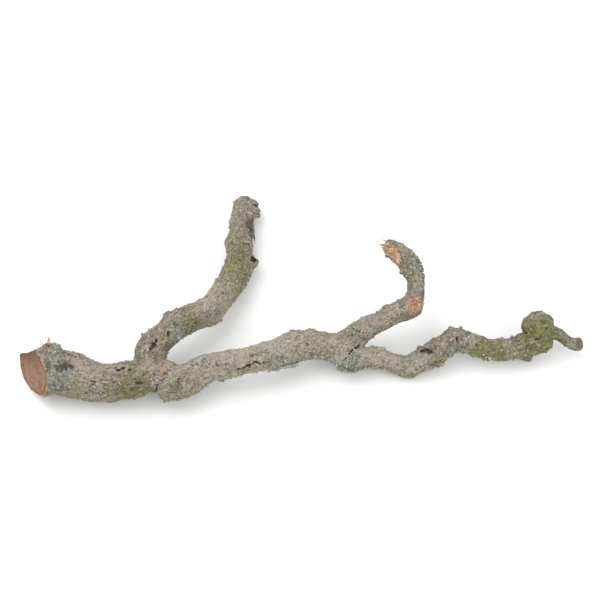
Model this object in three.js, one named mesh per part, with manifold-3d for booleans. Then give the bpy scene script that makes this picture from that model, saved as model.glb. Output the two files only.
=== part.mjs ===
// A fallen tree branch with its bark on, lying on the ground on three spots: the butt, the lowest bend
// of the outer limb and the tip of the left side limb. It is parted at its forks into six limbs.
// Millimetres, +Z up, +X along the branch from the sawn butt to the twig.
// The origin is on the ground, under the middle of the branch's box.

import * as THREE from "three";
import { mergeVertices } from "three/addons/utils/BufferGeometryUtils.js";
import { ImprovedNoise } from "three/addons/math/ImprovedNoise.js";
import Module from "manifold-3d";

const wasm = await Module();
wasm.setup();

const ringSpacing = 10; // between the rings of a limb, along it
const stemSides = 20; // sides of a limb's section
const leftSides = 18;
const rightSides = 16;
const twigSides = 12;
const forkGap = 0.3; // clearance between two limbs where they are parted
const swellScale = 42; // size of the slow swellings of the bark
const swellHeight = 1.7;
const knobScale = 15; // size of the small knobs of the bark
const knobHeight = 1.3;
const ridgeShare = 0.035; // height of the ribs that run along a limb, as a share of its radius
const ribs = 3; // ribs round a limb
const ribTwist = 0.012; // turn of the ribs, in radians per millimetre
const groundDepth = 200; // thickness of the slab that trims the underside flat at the ground
const groundSize = 2000;

// The stations of each limb: x, y and z of its middle, and its radius there. The stem runs from the butt,
// past both forks, to the burl near the twig.
const stemStations = [
  [-500, -150, 49, 44],
  [-458, -151, 48, 45],
  [-428, -150, 47, 45],
  [-401, -152, 43, 42],
  [-374, -158, 38.5, 40.5],
  [-346, -167, 36, 35],
  [-318, -170, 38, 34],
  [-291, -166, 40, 34],
  [-264, -163, 42, 33.5],
  [-244, -161, 44, 31],
  [-225, -167, 44, 34],
  [-206, -171, 44, 29],
  [-183, -162, 44, 28],
  [-156, -146, 46, 25.5],
  [-122, -141, 50, 24],
  [-88, -133, 52, 22.5],
  [-55, -123, 50, 24],
  [-21, -109, 46, 27],
  [10, -97, 42, 25],
  [45, -98, 38, 25],
  [74, -108, 36, 29],
  [100, -117, 30, 22],
  [131, -117, 25, 19],
  [159, -120, 20, 18],
  [187, -123, 17.5, 19.5],
  [208, -115, 20, 21],
  [232, -104, 28, 22],
  [253, -89, 36, 22],
  [270, -83, 40, 20],
  [291, -89, 38, 20],
  [318, -98, 33, 19],
  [346, -99, 31, 20],
  [371, -95, 31, 19],
  [396, -88, 32, 21],
  [415, -82, 32, 20],
  [430, -79, 33, 12],
];
const leftStations = [
  [-256, -150, 44, 24],
  [-255, -128, 50, 27],
  [-249, -106, 58, 26],
  [-231, -86, 64, 26],
  [-209, -68, 66, 25],
  [-183, -50, 62, 24],
  [-161, -28, 55, 26],
  [-142, 2, 46, 25],
  [-122, 44, 38, 25],
  [-110, 88, 32, 25],
  [-109, 128, 27, 23],
  [-111, 168, 21, 20.5],
  [-108, 208, 18, 20],
  [-106, 234, 17, 18.5],
  [-105, 250, 18, 10],
];
const rightStations = [
  [62, -106, 38, 18],
  [86, -88, 43, 23],
  [114, -70, 52, 21],
  [138, -61, 60, 20],
  [163, -49, 66, 20.5],
  [184, -38, 71, 20],
  [198, -24, 76, 18],
  [202, -4, 83, 15],
  [200, 15, 92, 16],
  [192, 30, 103, 18.5],
  [179, 43, 112, 18.5],
  [164, 52, 118, 16.5],
  [148, 58, 122, 14],
];
const twigStations = [
  [424, -66, 38, 9],
  [436, -66, 36, 12],
  [450, -68, 34, 10.5],
  [461, -79, 31, 9],
  [472, -86, 30, 9.5],
  [484, -87, 30, 10.5],
  [494, -87, 30, 10.5],
];

// Swellings and dents: x, y and z of the middle, how far it reaches, and how high it stands.
const stemLumps = [
  [-428, -112, 86, 10, 4],
  [-398, -124, 74, 8, 4],
  [-440, -192, 30, 15, 5],
  [-330, -196, 20, 22, 3],
  [-214, -200, 30, 14, 7],
  [-160, -172, 28, 9, 4],
  [-16, -84, 66, 9, 5],
  [70, -136, 22, 14, 5],
  [140, -100, 42, 14, 3],
  [196, -140, 8, 11, 4],
  [262, -66, 54, 12, 4],
  [352, -118, 20, 12, 4],
];
const leftLumps = [
  [-274, -118, 66, 14, 4],
  [-198, -44, 82, 16, 3],
  [-142, -44, 40, 12, 5],
  [-84, 90, 32, 8, 7],
  [-134, 122, 30, 9, 5],
  [-148, 74, 42, 8, 4],
  [-88, 214, 22, 9, 6],
];
const rightLumps = [
  [206, -42, 60, 12, 4],
  [128, -44, 72, 12, 3],
  [180, 28, 88, 10, 3],
];

const noise = new ImprovedNoise();

// A closed body that can be joined and cut, from a geometry in its final place.
function solid(geometry) {
  const bare = geometry.clone();
  bare.deleteAttribute("normal");
  bare.deleteAttribute("uv");
  const merged = mergeVertices(bare, 1e-3);
  return new wasm.Manifold(
    new wasm.Mesh({
      numProp: 3,
      vertProperties: merged.attributes.position.array,
      triVerts: new Uint32Array(merged.index.array),
    }),
  );
}

// A geometry turned so that its own +Y points along a direction, then moved to a place.
function placed(geometry, position, direction) {
  const upright = new THREE.Vector3(0, 1, 0);
  const unit = new THREE.Vector3(...direction).normalize();
  const turn = new THREE.Quaternion().setFromUnitVectors(upright, unit);
  return geometry.applyQuaternion(turn).translate(...position);
}

// How far the bark stands out from a limb's round section at a point.
function barkHeight(point, angle, along, radius, lumps) {
  const { x, y, z } = point;
  let height = swellHeight * noise.noise(x / swellScale, y / swellScale, z / swellScale);
  height += knobHeight * noise.noise(x / knobScale + 7, y / knobScale, z / knobScale);
  height += ridgeShare * radius * Math.cos(ribs * angle + ribTwist * along);
  for (const [lumpX, lumpY, lumpZ, reach, rise] of lumps) {
    const distance = point.distanceTo(new THREE.Vector3(lumpX, lumpY, lumpZ));
    height += rise * Math.exp(-0.5 * (distance / reach) ** 2);
  }
  return height;
}

// A limb: a closed cylinder bent along the smooth line through its stations, with their radii.
function limb(stations, lumps, sides) {
  const line = new THREE.CatmullRomCurve3(stations.map(([x, y, z]) => new THREE.Vector3(x, y, z)));
  const radii = new THREE.SplineCurve(stations.map(([, , , radius], i) => new THREE.Vector2(i, radius)));
  const length = line.getLength();
  const rings = Math.round(length / ringSpacing);
  const frames = line.computeFrenetFrames(rings);
  const geometry = new THREE.CylinderGeometry(1, 1, 1, sides, rings);
  const corners = geometry.attributes.position;
  for (let i = 0; i < corners.count; i++) {
    const ring = Math.round((corners.getY(i) + 0.5) * rings);
    const t = line.getUtoTmapping(ring / rings);
    const middle = line.getPoint(t);
    const radius = radii.getPoint(t).y;
    const [across, up] = [corners.getX(i), -corners.getZ(i)];
    const outwards = frames.normals[ring].clone().multiplyScalar(across);
    outwards.addScaledVector(frames.binormals[ring], up);
    const point = middle.clone().addScaledVector(outwards, radius);
    if (outwards.length() > 0.5) {
      const along = (length * ring) / rings;
      point.addScaledVector(outwards, barkHeight(point, Math.atan2(up, across), along, radius, lumps));
    }
    corners.setXYZ(i, point.x, point.y, point.z);
  }
  return solid(geometry);
}

// A rounded lump or hollow, such as a burl: a ball with so many faces round and up, stretched and set
// at a place.
function ball(position, size, [wide, high]) {
  const geometry = new THREE.SphereGeometry(1, wide, high).scale(...size);
  return solid(geometry.translate(...position));
}

// A thin pointed splinter that stands on the wood.
function splinter(position, direction, length, width) {
  return solid(placed(new THREE.ConeGeometry(width, length, 5), position, direction));
}

// A slab of bark or a block that cuts, its own height along a direction.
function block(position, direction, [width, height, depth]) {
  return solid(placed(new THREE.BoxGeometry(width, height, depth), position, direction));
}

// A block whose near face stands on a plane: what lies beyond the plane, as far as the block reaches.
function beyond(position, direction, reach) {
  const unit = new THREE.Vector3(...direction).normalize();
  const middle = new THREE.Vector3(...position).addScaledVector(unit, reach / 2);
  return block(middle.toArray(), direction, [reach, reach, reach]);
}

// Where the branch is sawn or broken off: a point on the face and the way that the face looks.
const sawnButt = { at: [-446, -152, 50], facing: [-0.8, -0.48, 0.36] };
const sawnTwig = { at: [483, -87, 30], facing: [0.77, -0.37, 0.53] };
const brokenHook = { at: [160, 50, 118], facing: [-0.72, -0.5, 0.5] };
const offCutReach = 160;

// The bite torn out of the butt's rim on its far side: a round scoop, and the way that it runs.
const scoopRadius = 38;
const scoopLength = 200;
const scoopMiddle = [-461, -93, 85];
const scoopFacing = [0.2, -0.45, 0.87];

// The stump of a twig that was sawn off at the elbow of the right side limb.
const stumpAt = [197, -37, 76];
const stumpFacing = [-0.05, -0.52, 0.85];
const stumpLength = 42;
const stumpRadii = [11.5, 14];
const stumpStretch = 1.3; // the stump is wider down the limb's side than across it

function stem() {
  const wood = limb(stemStations, stemLumps, stemSides);
  const burl = ball([412, -61, 48], [28, 24, 23], [18, 12]);
  const heel = ball([416, -84, 30], [23, 22, 21], [14, 9]);
  const flap = block([391, -106, 21], [0.2, 1, 0.3], [24, 16, 9]);
  const scoopShape = new THREE.CylinderGeometry(scoopRadius, scoopRadius, scoopLength, 40);
  const scoop = solid(placed(scoopShape, scoopMiddle, scoopFacing));
  const crack = ball([-60, -143, 60], [22, 4, 5], [12, 6]);
  const wound = ball([-226, -176, 76], [9, 6, 7], [10, 6]);
  const hollow = ball([226, -106, 50], [14, 5, 7], [12, 7]);
  return wood
    .add(burl)
    .add(heel)
    .add(flap)
    .subtract(beyond(sawnButt.at, sawnButt.facing, offCutReach))
    .subtract(scoop)
    .subtract(crack)
    .subtract(wound)
    .subtract(hollow);
}

function leftSideLimb() {
  const wood = limb(leftStations, leftLumps, leftSides);
  const nub = ball([-86, 217, 24], [12, 9, 9], [12, 8]);
  const peelingFlake = block([-89, 178, 24], [0.1, 1, 0.15], [6, 44, 9]);
  const hollow = ball([-238, -108, 87], [8, 7, 7], [10, 6]);
  return wood.add(nub).add(peelingFlake).subtract(hollow);
}

function rightSideLimb() {
  const wood = limb(rightStations, rightLumps, rightSides);
  const [faceRadius, footRadius] = stumpRadii;
  const stumpShape = new THREE.CylinderGeometry(faceRadius, footRadius, stumpLength, 18);
  stumpShape.scale(1, 1, stumpStretch);
  const stump = solid(placed(stumpShape, stumpAt, stumpFacing));
  const tongue = splinter([149, 62, 124], [-1, 0.1, 0.2], 26, 6);
  return wood
    .subtract(beyond(brokenHook.at, brokenHook.facing, offCutReach / 2))
    .add(stump)
    .add(tongue);
}

function endTwig() {
  const wood = limb(twigStations, [], twigSides);
  return wood.subtract(beyond(sawnTwig.at, sawnTwig.facing, offCutReach / 4));
}

const groundShape = new THREE.BoxGeometry(groundSize, groundSize, groundDepth);
const ground = solid(groundShape.translate(0, 0, -groundDepth / 2));
const wholeBranch = stem().add(leftSideLimb()).add(rightSideLimb()).add(endTwig()).subtract(ground);

// Where the branch is parted. An upright block takes each limb off: the middle of its near face, the way
// that the limb leaves through that face, in degrees round from +X, and the block's width and length.
const forks = [
  { name: "end_twig", near: [441, -72], heading: 0, width: 70, length: 80 },
  { name: "right_side_limb", near: [88, -27], heading: 20, width: 148, length: 180 },
  { name: "outer_limb", near: [89, -100], heading: -4, width: 190, length: 400 },
  { name: "left_side_limb", near: [-150, -99], heading: 100, width: 270, length: 400 },
  { name: "middle_limb", near: [-238, -150], heading: -8, width: 330, length: 360 },
];
const forkBlockHeight = 400;

// The block of a fork, drawn back from its faces by a clearance.
function forkBlock({ near, heading, width, length }, clearance = 0) {
  const turn = THREE.MathUtils.degToRad(heading);
  const geometry = new THREE.BoxGeometry(length, width - 2 * clearance, forkBlockHeight)
    .translate(length / 2 + clearance, 0, 0)
    .rotateZ(turn)
    .translate(...near, 0);
  return solid(geometry);
}

const barkColours = {
  butt_limb: 0x8c8178,
  middle_limb: 0x8e8272,
  left_side_limb: 0x84806a,
  right_side_limb: 0x8a8272,
  outer_limb: 0x807c6b,
  end_twig: 0x7d7a58,
};

function barkMaterial(name) {
  return new THREE.MeshStandardMaterial({ color: barkColours[name], roughness: 0.92, metalness: 0 });
}

// A named mesh of a finished body.
function mesh(name, body) {
  const { numProp, vertProperties, triVerts } = body.getMesh();
  const geometry = new THREE.BufferGeometry();
  geometry.setAttribute("position", new THREE.BufferAttribute(new Float32Array(vertProperties), numProp));
  geometry.setIndex(new THREE.BufferAttribute(new Uint32Array(triVerts), 1));
  geometry.computeVertexNormals();
  const made = new THREE.Mesh(geometry, barkMaterial(name));
  made.name = name;
  return made;
}

const branch = new THREE.Group();
let remainder = wholeBranch;
for (const fork of forks) {
  branch.add(mesh(fork.name, remainder.intersect(forkBlock(fork, forkGap))));
  remainder = remainder.subtract(forkBlock(fork));
}
branch.add(mesh("butt_limb", remainder));

const box = new THREE.Box3().setFromObject(branch);
const middle = box.getCenter(new THREE.Vector3());
branch.position.set(-middle.x, -middle.y, -box.min.z);

export default branch;
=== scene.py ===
# A fallen branch lying on a pale floor: rough bark raised on its own limbs, sawn and torn ends, leafy lichen.
# Lengths in the settings are millimetres, and places are those of the branch's drawing.

import math
import bpy
import numpy as np
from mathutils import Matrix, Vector
from mathutils.kdtree import KDTree


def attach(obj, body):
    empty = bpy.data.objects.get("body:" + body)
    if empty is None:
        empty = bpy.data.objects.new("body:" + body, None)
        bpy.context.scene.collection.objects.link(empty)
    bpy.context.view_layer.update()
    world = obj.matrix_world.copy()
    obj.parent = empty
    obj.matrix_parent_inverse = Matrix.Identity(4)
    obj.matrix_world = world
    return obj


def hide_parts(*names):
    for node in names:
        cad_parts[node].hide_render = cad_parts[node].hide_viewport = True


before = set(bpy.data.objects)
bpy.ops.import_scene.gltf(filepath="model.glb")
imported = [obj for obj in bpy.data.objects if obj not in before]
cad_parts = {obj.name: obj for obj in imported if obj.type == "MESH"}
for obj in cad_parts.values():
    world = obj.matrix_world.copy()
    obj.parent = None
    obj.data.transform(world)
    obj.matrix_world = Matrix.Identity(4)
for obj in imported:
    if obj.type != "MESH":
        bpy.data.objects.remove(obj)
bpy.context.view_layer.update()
scene = bpy.context.scene
mm = 0.001
drawingOffset = Vector((-5.50, -22.80, 0.0))  # from the drawing's origin to the middle of the branch's box


def place(point):
    return (Vector(point) + drawingOffset) * mm


def deselectAll():
    bpy.ops.object.select_all(action="DESELECT")


def pick(*objects):
    deselectAll()
    for item in objects:
        item.select_set(True)
    bpy.context.view_layer.objects.active = objects[0]


def applyModifier(item, kind, **values):
    pick(item)
    modifier = item.modifiers.new(kind.title(), kind)
    for key, value in values.items():
        setattr(modifier, key, value)
    bpy.ops.object.modifier_apply(modifier=modifier.name)


def cutWith(item, cutter, operation="DIFFERENCE"):
    applyModifier(item, "BOOLEAN", object=cutter, operation=operation, solver="MANIFOLD")
    bpy.data.objects.remove(cutter)


def joinTo(item, others):
    pick(item, *others)
    bpy.ops.object.join()


def turned(direction):
    return Vector(direction).to_track_quat("Z", "Y").to_euler()


def bakePlace(item):
    pick(item)
    bpy.ops.object.transform_apply(location=True, rotation=True, scale=True)


# Camera, floor and light

cameraSettings = {
    "target": (0, 0, 40),
    "distance": 2200,
    "elevation": 55,
    "focalPixels": 1243,
    "framePixels": 600,
    "sensor": 36,
    "clipEnd": 50,
}
lightSettings = {
    "worldColour": (0.97, 0.985, 1.0),
    "worldStrength": 1.0,
    "keyPlace": (-900, 300, 1500),
    "keySize": 1.8,
    "keyPower": 15,
    "fillPlace": (1200, -1300, 1300),
    "fillSize": 2.0,
    "fillPower": 11,
    "aim": (0, -60, 30),
}
floorSettings = {"size": 9000, "colour": (0.93, 0.93, 0.92, 1), "roughness": 0.75, "below": 0.2}


def addCamera():
    angle = math.radians(cameraSettings["elevation"])
    target = place(cameraSettings["target"])
    away = Vector((0, -math.cos(angle), math.sin(angle))) * cameraSettings["distance"] * mm
    bpy.ops.object.camera_add(location=target + away, rotation=(math.pi / 2 - angle, 0, 0))
    camera = bpy.context.object
    camera.name = "camera"
    camera.data.sensor_width = cameraSettings["sensor"]
    focalShare = cameraSettings["focalPixels"] / cameraSettings["framePixels"]
    camera.data.lens = focalShare * cameraSettings["sensor"]
    camera.data.clip_end = cameraSettings["clipEnd"]
    scene.camera = camera


def addAreaLight(name):
    bpy.ops.object.light_add(type="AREA", location=place(lightSettings[name + "Place"]))
    light = bpy.context.object
    light.name = name + "Light"
    light.rotation_euler = turned(light.location - place(lightSettings["aim"]))
    light.data.shape = "DISK"
    light.data.size = lightSettings[name + "Size"]
    light.data.energy = lightSettings[name + "Power"]


def addStage():
    below = -floorSettings["below"] * mm
    bpy.ops.mesh.primitive_plane_add(size=floorSettings["size"] * mm, location=(0, 0, below))
    floor = bpy.context.object
    floor.name = "floor"
    material = bpy.data.materials.new("paleFloor")
    material.use_nodes = True
    shader = material.node_tree.nodes["Principled BSDF"]
    shader.inputs["Base Color"].default_value = floorSettings["colour"]
    shader.inputs["Roughness"].default_value = floorSettings["roughness"]
    floor.data.materials.append(material)
    world = bpy.data.worlds.new("softRoom")
    world.use_nodes = True
    background = world.node_tree.nodes["Background"]
    background.inputs["Color"].default_value = (*lightSettings["worldColour"], 1)
    background.inputs["Strength"].default_value = lightSettings["worldStrength"]
    scene.world = world
    scene.view_settings.view_transform = "Standard"
    addAreaLight("key")
    addAreaLight("fill")


addCamera()
addStage()
print("camera, floor and lights are in place")


# Noise on arrays of points, in millimetres

noiseGain = 1.4  # lets the smooth noise reach from about -1 to 1


def hashOf(cell, seed):
    mixed = cell[..., 0] * 374761393 + cell[..., 1] * 668265263 + cell[..., 2] * 1103515245 + seed * 144269
    mixed &= 0xFFFFFFFF
    mixed = ((mixed ^ (mixed >> 13)) * 1274126177) & 0xFFFFFFFF
    return mixed ^ (mixed >> 16)


def threeFrom(hashed):
    return np.stack([(hashed >> shift) & 1023 for shift in (0, 10, 20)], -1) / 1023.0


def smoothNoise(points, size, seed=0):
    scaled = points / size
    cell = np.floor(scaled).astype(np.int64)
    part = scaled - cell
    fade = part * part * part * (part * (part * 6 - 15) + 10)
    total = np.zeros(len(points))
    for corner in np.ndindex(2, 2, 2):
        step = np.array(corner)
        slope = threeFrom(hashOf(cell + step, seed)) * 2 - 1
        weight = np.prod(np.where(step, fade, 1 - fade), axis=1)
        total += weight * np.sum(slope * (part - step), axis=1)
    return total * noiseGain


def layeredNoise(points, size, layers, seed=0):
    total = np.zeros(len(points))
    for layer in range(layers):
        total += smoothNoise(points, size / 2**layer, seed + layer) / 2**layer
    return total


def cellNoise(points, size, seed=0):
    # distance to the nearest and second nearest seed point, in cells, and a random number for the nearest
    scaled = points / size
    cell = np.floor(scaled).astype(np.int64)
    first = np.full(len(points), 9.0)
    second = np.full(len(points), 9.0)
    chosen = np.zeros(len(points))
    for corner in np.ndindex(3, 3, 3):
        neighbour = cell + np.array(corner) - 1
        hashed = hashOf(neighbour, seed)
        away = np.linalg.norm(neighbour + threeFrom(hashed) - scaled, axis=1)
        nearer = away < first
        second = np.where(nearer, first, np.minimum(second, away))
        chosen = np.where(nearer, (hashed >> 5 & 4095) / 4095.0, chosen)
        first = np.where(nearer, away, first)
    return first, second, chosen


def smoothStep(low, high, value):
    t = np.clip((value - low) / (high - low), 0, 1)
    return t * t * (3 - 2 * t)


# The middle lines of the limbs: x, y, z and radius

limbLines = {
    "stem": [
        (-500, -150, 49, 44), (-428, -150, 47, 45), (-374, -158, 38, 40), (-318, -170, 38, 34),
        (-264, -163, 42, 34), (-206, -171, 44, 30), (-156, -146, 46, 26), (-88, -133, 52, 23),
        (-21, -109, 46, 27), (45, -98, 38, 25), (100, -117, 30, 22), (159, -120, 20, 18),
        (208, -115, 20, 21), (253, -89, 36, 22), (318, -98, 33, 19), (371, -95, 31, 19),
        (400, -84, 36, 24), (430, -79, 35, 22),
    ],
    "left": [
        (-255, -128, 50, 27), (-231, -86, 64, 26), (-183, -50, 62, 24), (-142, 2, 46, 25),
        (-110, 88, 32, 25), (-111, 168, 21, 20), (-106, 234, 17, 18), (-105, 250, 18, 12),
    ],
    "right": [
        (86, -88, 43, 23), (138, -61, 60, 20), (184, -38, 71, 20), (202, -4, 83, 15),
        (192, 30, 103, 18), (164, 52, 118, 16), (140, 62, 124, 14),
    ],
    "twig": [(436, -66, 36, 12), (461, -79, 31, 9), (494, -87, 30, 10)],
}
grainSpacing = 200  # keeps the grain of one limb apart from the next one's


def limbSpace(points):
    # the grain of the nearest limb, as a straight one: along it and across it, with its radius
    best = np.full(len(points), 1e9)
    grain = np.zeros((len(points), 3))
    radius = np.zeros(len(points))
    start = 0.0
    for stations in limbLines.values():
        line = np.array(stations, float)
        middles, radii = line[:, :3], line[:, 3]
        steps = np.diff(middles, axis=0)
        lengths = np.linalg.norm(steps, axis=1)
        travelled = start + np.concatenate([[0], np.cumsum(lengths)])
        side = np.cross(steps[0], (0, 0, 1))
        sides = []
        for i in range(len(middles)):
            ahead = steps[min(i, len(steps) - 1)] + steps[max(i - 1, 0)]
            ahead /= np.linalg.norm(ahead)
            side = side - ahead * (side @ ahead)
            side /= np.linalg.norm(side)
            sides.append((side.copy(), np.cross(ahead, side)))
        for i, step in enumerate(steps):
            share = np.clip(((points - middles[i]) @ step) / lengths[i] ** 2, 0, 1)
            out = points - middles[i] - share[:, None] * step
            thickness = radii[i] + share * (radii[i + 1] - radii[i])
            score = np.linalg.norm(out, axis=1) - thickness
            nearer = score < best
            best = np.where(nearer, score, best)
            radius = np.where(nearer, thickness, radius)
            across = [sides[i][k] + share[:, None] * (sides[i + 1][k] - sides[i][k]) for k in (0, 1)]
            crosswise = [np.sum(out * axis, axis=1) for axis in across]
            here = np.stack([travelled[i] + share * lengths[i], *crosswise], axis=1)
            grain = np.where(nearer[:, None], here, grain)
        start = travelled[-1] + grainSpacing
    return grain, radius


# The branch in one piece, before its bark: the parted limbs closed up, with their knobs and cuts

ends = {
    "butt": {
        "at": (-446, -152, 50),
        "facing": (-0.8, -0.48, 0.36),
        "outset": 4.5,
        "reach": 70,
        "pith": (-446, -163, 55),
        "barkLip": 0,
        "roughness": {"tear": 0.4, "grain": 9, "saw": 0.12, "checks": 0.4},
    },
    "stump": {
        "at": (195.9, -47.9, 93.9),
        "facing": (-0.05, -0.52, 0.85),
        "outset": 0,
        "reach": 17,
        "pith": (196, -50, 93),
        "barkLip": 1.8,
        "roughness": {"tear": 0.9, "grain": 6, "saw": 0.0, "checks": 0.9},
    },
    "hook": {
        "at": (160, 50, 118),
        "facing": (-0.72, -0.5, 0.5),
        "outset": 3,
        "reach": 34,
        "pith": (158, 52, 117),
        "barkLip": 4.8,
        "roughness": {"tear": 3.2, "grain": 6, "saw": 0.0, "checks": 1.5},
    },
    "twig": {
        "at": (483, -87, 30),
        "facing": (0.77, -0.37, 0.53),
        "outset": 3.5,
        "reach": 20,
        "pith": (483, -87, 30),
        "barkLip": 0.8,
        "roughness": {"tear": 0.6, "grain": 5, "saw": 0.0, "checks": 0.6},
    },
}
branchShape = {
    "closing": 0.35,  # swells the limbs over the gaps where they are parted
    "coarseVoxel": 2.2,
    "fineVoxel": 1.05,
    "endGrowth": 7,
    "coarseSmoothing": 7,
    "fineSmoothing": 2,
    "knobSeed": 3,
    "knobUnevenness": 0.3,
    "hollowSeed": 60,
    "hollowUnevenness": 0.6,
}
# a face of the solids belongs to an end's cut when it is this near its plane and faces this much its way
solidFace = {"within": 1.2, "towards": 0.98}
# the places and half widths of what stands out of the limbs, and of what is hollowed out of them
knobs = {
    "rimBump": ((-417, -121, 74), (11, 10, 6)),
    "rimBumpLow": ((-374, -131, 68), (7, 7, 6)),
    "buttShelf": ((-356, -141, 64), (9, 7, 5)),
    "forkPeak": ((20, -80, 59), (12, 7, 7)),
    "outerLedge": ((128, -104, 43), (22, 5, 5)),
    "sideBulge": ((152, -44, 80), (13, 7, 7)),
    "hookBulge": ((177, 17, 102), (7, 6, 8)),
    "brokenLip": ((150, 44, 108), (5, 4, 4)),
    "bendBump": ((231, -95, 48), (6, 4, 4)),
    "bendBumpLow": ((206, -101, 41), (6, 5, 5)),
    "humpLeft": ((261, -71, 60), (8, 7, 6)),
    "humpRight": ((277, -73, 61), (7, 6, 5)),
    "topBumpFirst": ((346, -90, 49), (5, 5, 4)),
    "topBumpSecond": ((366, -84, 50), (4, 4, 4)),
    "topBumpThird": ((381, -80, 51), (5, 5, 4)),
    "sideStub": ((-146, 29, 60), (6, 5, 6)),
    "kneeStep": ((-181, -183, 40), (7, 7, 8)),
    "cavityCorner": ((-80, 86, 34), (6, 9, 6)),
    "burlBrow": ((414, -52, 62), (20, 14, 8)),
    "tipNub": ((-85, 215, 25), (12, 9, 8)),
    "tipShoulder": ((-88, 231, 24), (9, 11, 8)),
    "tipNubHook": ((-79, 207, 22), (6, 7, 6)),
    "tipHip": ((-133, 132, 34), (6, 14, 8)),
}
hollows = {
    "buttHole": ((-304, -166, 74), (5, 2.2, 5)),
    "buttHoleRight": ((-296, -163, 74), (4, 2, 5)),
    "buttHoleSmall": ((-309, -160, 72), (2.4, 1.8, 4)),
    "kneeSlit": ((-268, -187, 66), (7, 1.4, 3.5)),
    "topPinhole": ((-284, -167, 75), (2.4, 1.6, 3)),
    "limbHollow": ((-247, -122, 82), (4.2, 5, 6)),
    "limbHollowLow": ((-252, -128, 80), (4.5, 1.6, 4)),
    "limbHollowUpper": ((-243, -114, 83), (1.8, 4, 4)),
    "limbSlit": ((-223, -101, 86), (1.6, 5, 6)),
    "healedWound": ((-226, -177, 75), (4.5, 1.8, 3)),
    "sideCavity": ((-84, 89, 43), (6.5, 6.5, 8)),
    "tipCavity": ((-84, 224, 29), (5, 2.4, 4)),
    "bendHollow": ((214, -109, 47), (11, 3.6, 11)),
    "bendHollowLow": ((222, -113, 45), (5, 3.2, 9)),
}


def copyOfLimbs(name):
    copies = []
    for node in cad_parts.values():
        copied = bpy.data.objects.new(name, node.data.copy())
        scene.collection.objects.link(copied)
        copies.append(copied)
    pick(*copies)
    bpy.ops.object.join()
    whole = bpy.context.object
    whole.name = name
    whole.data.materials.clear()
    bpy.ops.object.mode_set(mode="EDIT")
    bpy.ops.mesh.select_all(action="SELECT")
    bpy.ops.mesh.remove_doubles(threshold=0.00001)
    bpy.ops.object.mode_set(mode="OBJECT")
    return whole


def cutPlace(end):
    return Vector(end["at"]) + Vector(end["facing"]).normalized() * end["outset"]


def growEnd(whole, end):
    # the end is drawn out a little, so that it can be cut off sharp after the smoothing
    at, facing = place(end["at"]), Vector(end["facing"]).normalized()
    bpy.ops.object.mode_set(mode="EDIT")
    bpy.ops.mesh.select_all(action="DESELECT")
    bpy.ops.mesh.select_mode(type="FACE")
    bpy.ops.object.mode_set(mode="OBJECT")
    for face in whole.data.polygons:
        away = face.center - at
        near = abs(away.dot(facing)) < solidFace["within"] * mm and away.length < end["reach"] * mm
        face.select = near and face.normal.dot(facing) > solidFace["towards"]
    bpy.ops.object.mode_set(mode="EDIT")
    growth = facing * (branchShape["endGrowth"] + 2 * end["outset"]) * mm
    bpy.ops.mesh.extrude_region_move(TRANSFORM_OT_translate={"value": growth})
    bpy.ops.object.mode_set(mode="OBJECT")


def addLump(centre, size, seed, unevenness):
    bpy.ops.mesh.primitive_ico_sphere_add(subdivisions=3, radius=mm, location=place(centre), scale=size)
    lump = bpy.context.object
    bakePlace(lump)
    points = readPoints(lump.data) / mm
    thinnest = min(size)
    push = unevenness * thinnest * smoothNoise(points, 1.1 * thinnest, seed)
    writePoints(lump.data, (points + readNormals(lump.data) * push[:, None]) * mm)
    return lump


def readPoints(mesh):
    values = np.zeros(len(mesh.vertices) * 3)
    mesh.vertices.foreach_get("co", values)
    return values.reshape(-1, 3)


def readNormals(mesh):
    values = np.zeros(len(mesh.vertices) * 3, np.float32)
    mesh.vertex_normals.foreach_get("vector", values)
    return values.reshape(-1, 3).astype(float)


def writePoints(mesh, points):
    mesh.vertices.foreach_set("co", points.reshape(-1).astype(np.float32))
    mesh.update()


def cutEnd(whole, end):
    at, facing = place(cutPlace(end)), Vector(end["facing"]).normalized()
    side = 2 * end["reach"] * mm
    bpy.ops.mesh.primitive_cube_add(size=side, location=at + facing * side / 2, rotation=turned(facing))
    cutWith(whole, bpy.context.object)


# the bite torn out of the butt's rim on its far side
scoop = {
    "middle": (-461, -93, 85),
    "facing": (0.2, -0.45, 0.87),
    "radius": 38,
    "length": 200,
    "endsAt": -400,  # its own faces lie left of this
    "roughness": {"tear": 2.0, "grain": 8, "saw": 0.0, "checks": 1.2},
}
stumpCollar = {"radius": 12.5, "thickness": 3.2, "stretch": 1.25, "sink": 1.5}


def cutScoop(whole):
    bpy.ops.mesh.primitive_cylinder_add(
        vertices=64,
        radius=scoop["radius"] * mm,
        depth=scoop["length"] * mm,
        location=place(scoop["middle"]),
        rotation=turned(scoop["facing"]),
    )
    cutWith(whole, bpy.context.object)


def addStumpCollar():
    facing = Vector(ends["stump"]["facing"]).normalized()
    bpy.ops.mesh.primitive_torus_add(
        major_radius=stumpCollar["radius"] * mm,
        minor_radius=stumpCollar["thickness"] * mm,
        location=place(ends["stump"]["at"]) - facing * stumpCollar["sink"] * mm,
        rotation=turned(facing),
    )
    collar = bpy.context.object
    collar.scale = (1, stumpCollar["stretch"], 1)
    bakePlace(collar)
    return collar


def remesh(item, voxel, smoothing):
    applyModifier(item, "REMESH", mode="VOXEL", voxel_size=voxel * mm)
    applyModifier(item, "SMOOTH", factor=0.5, iterations=smoothing)


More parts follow.
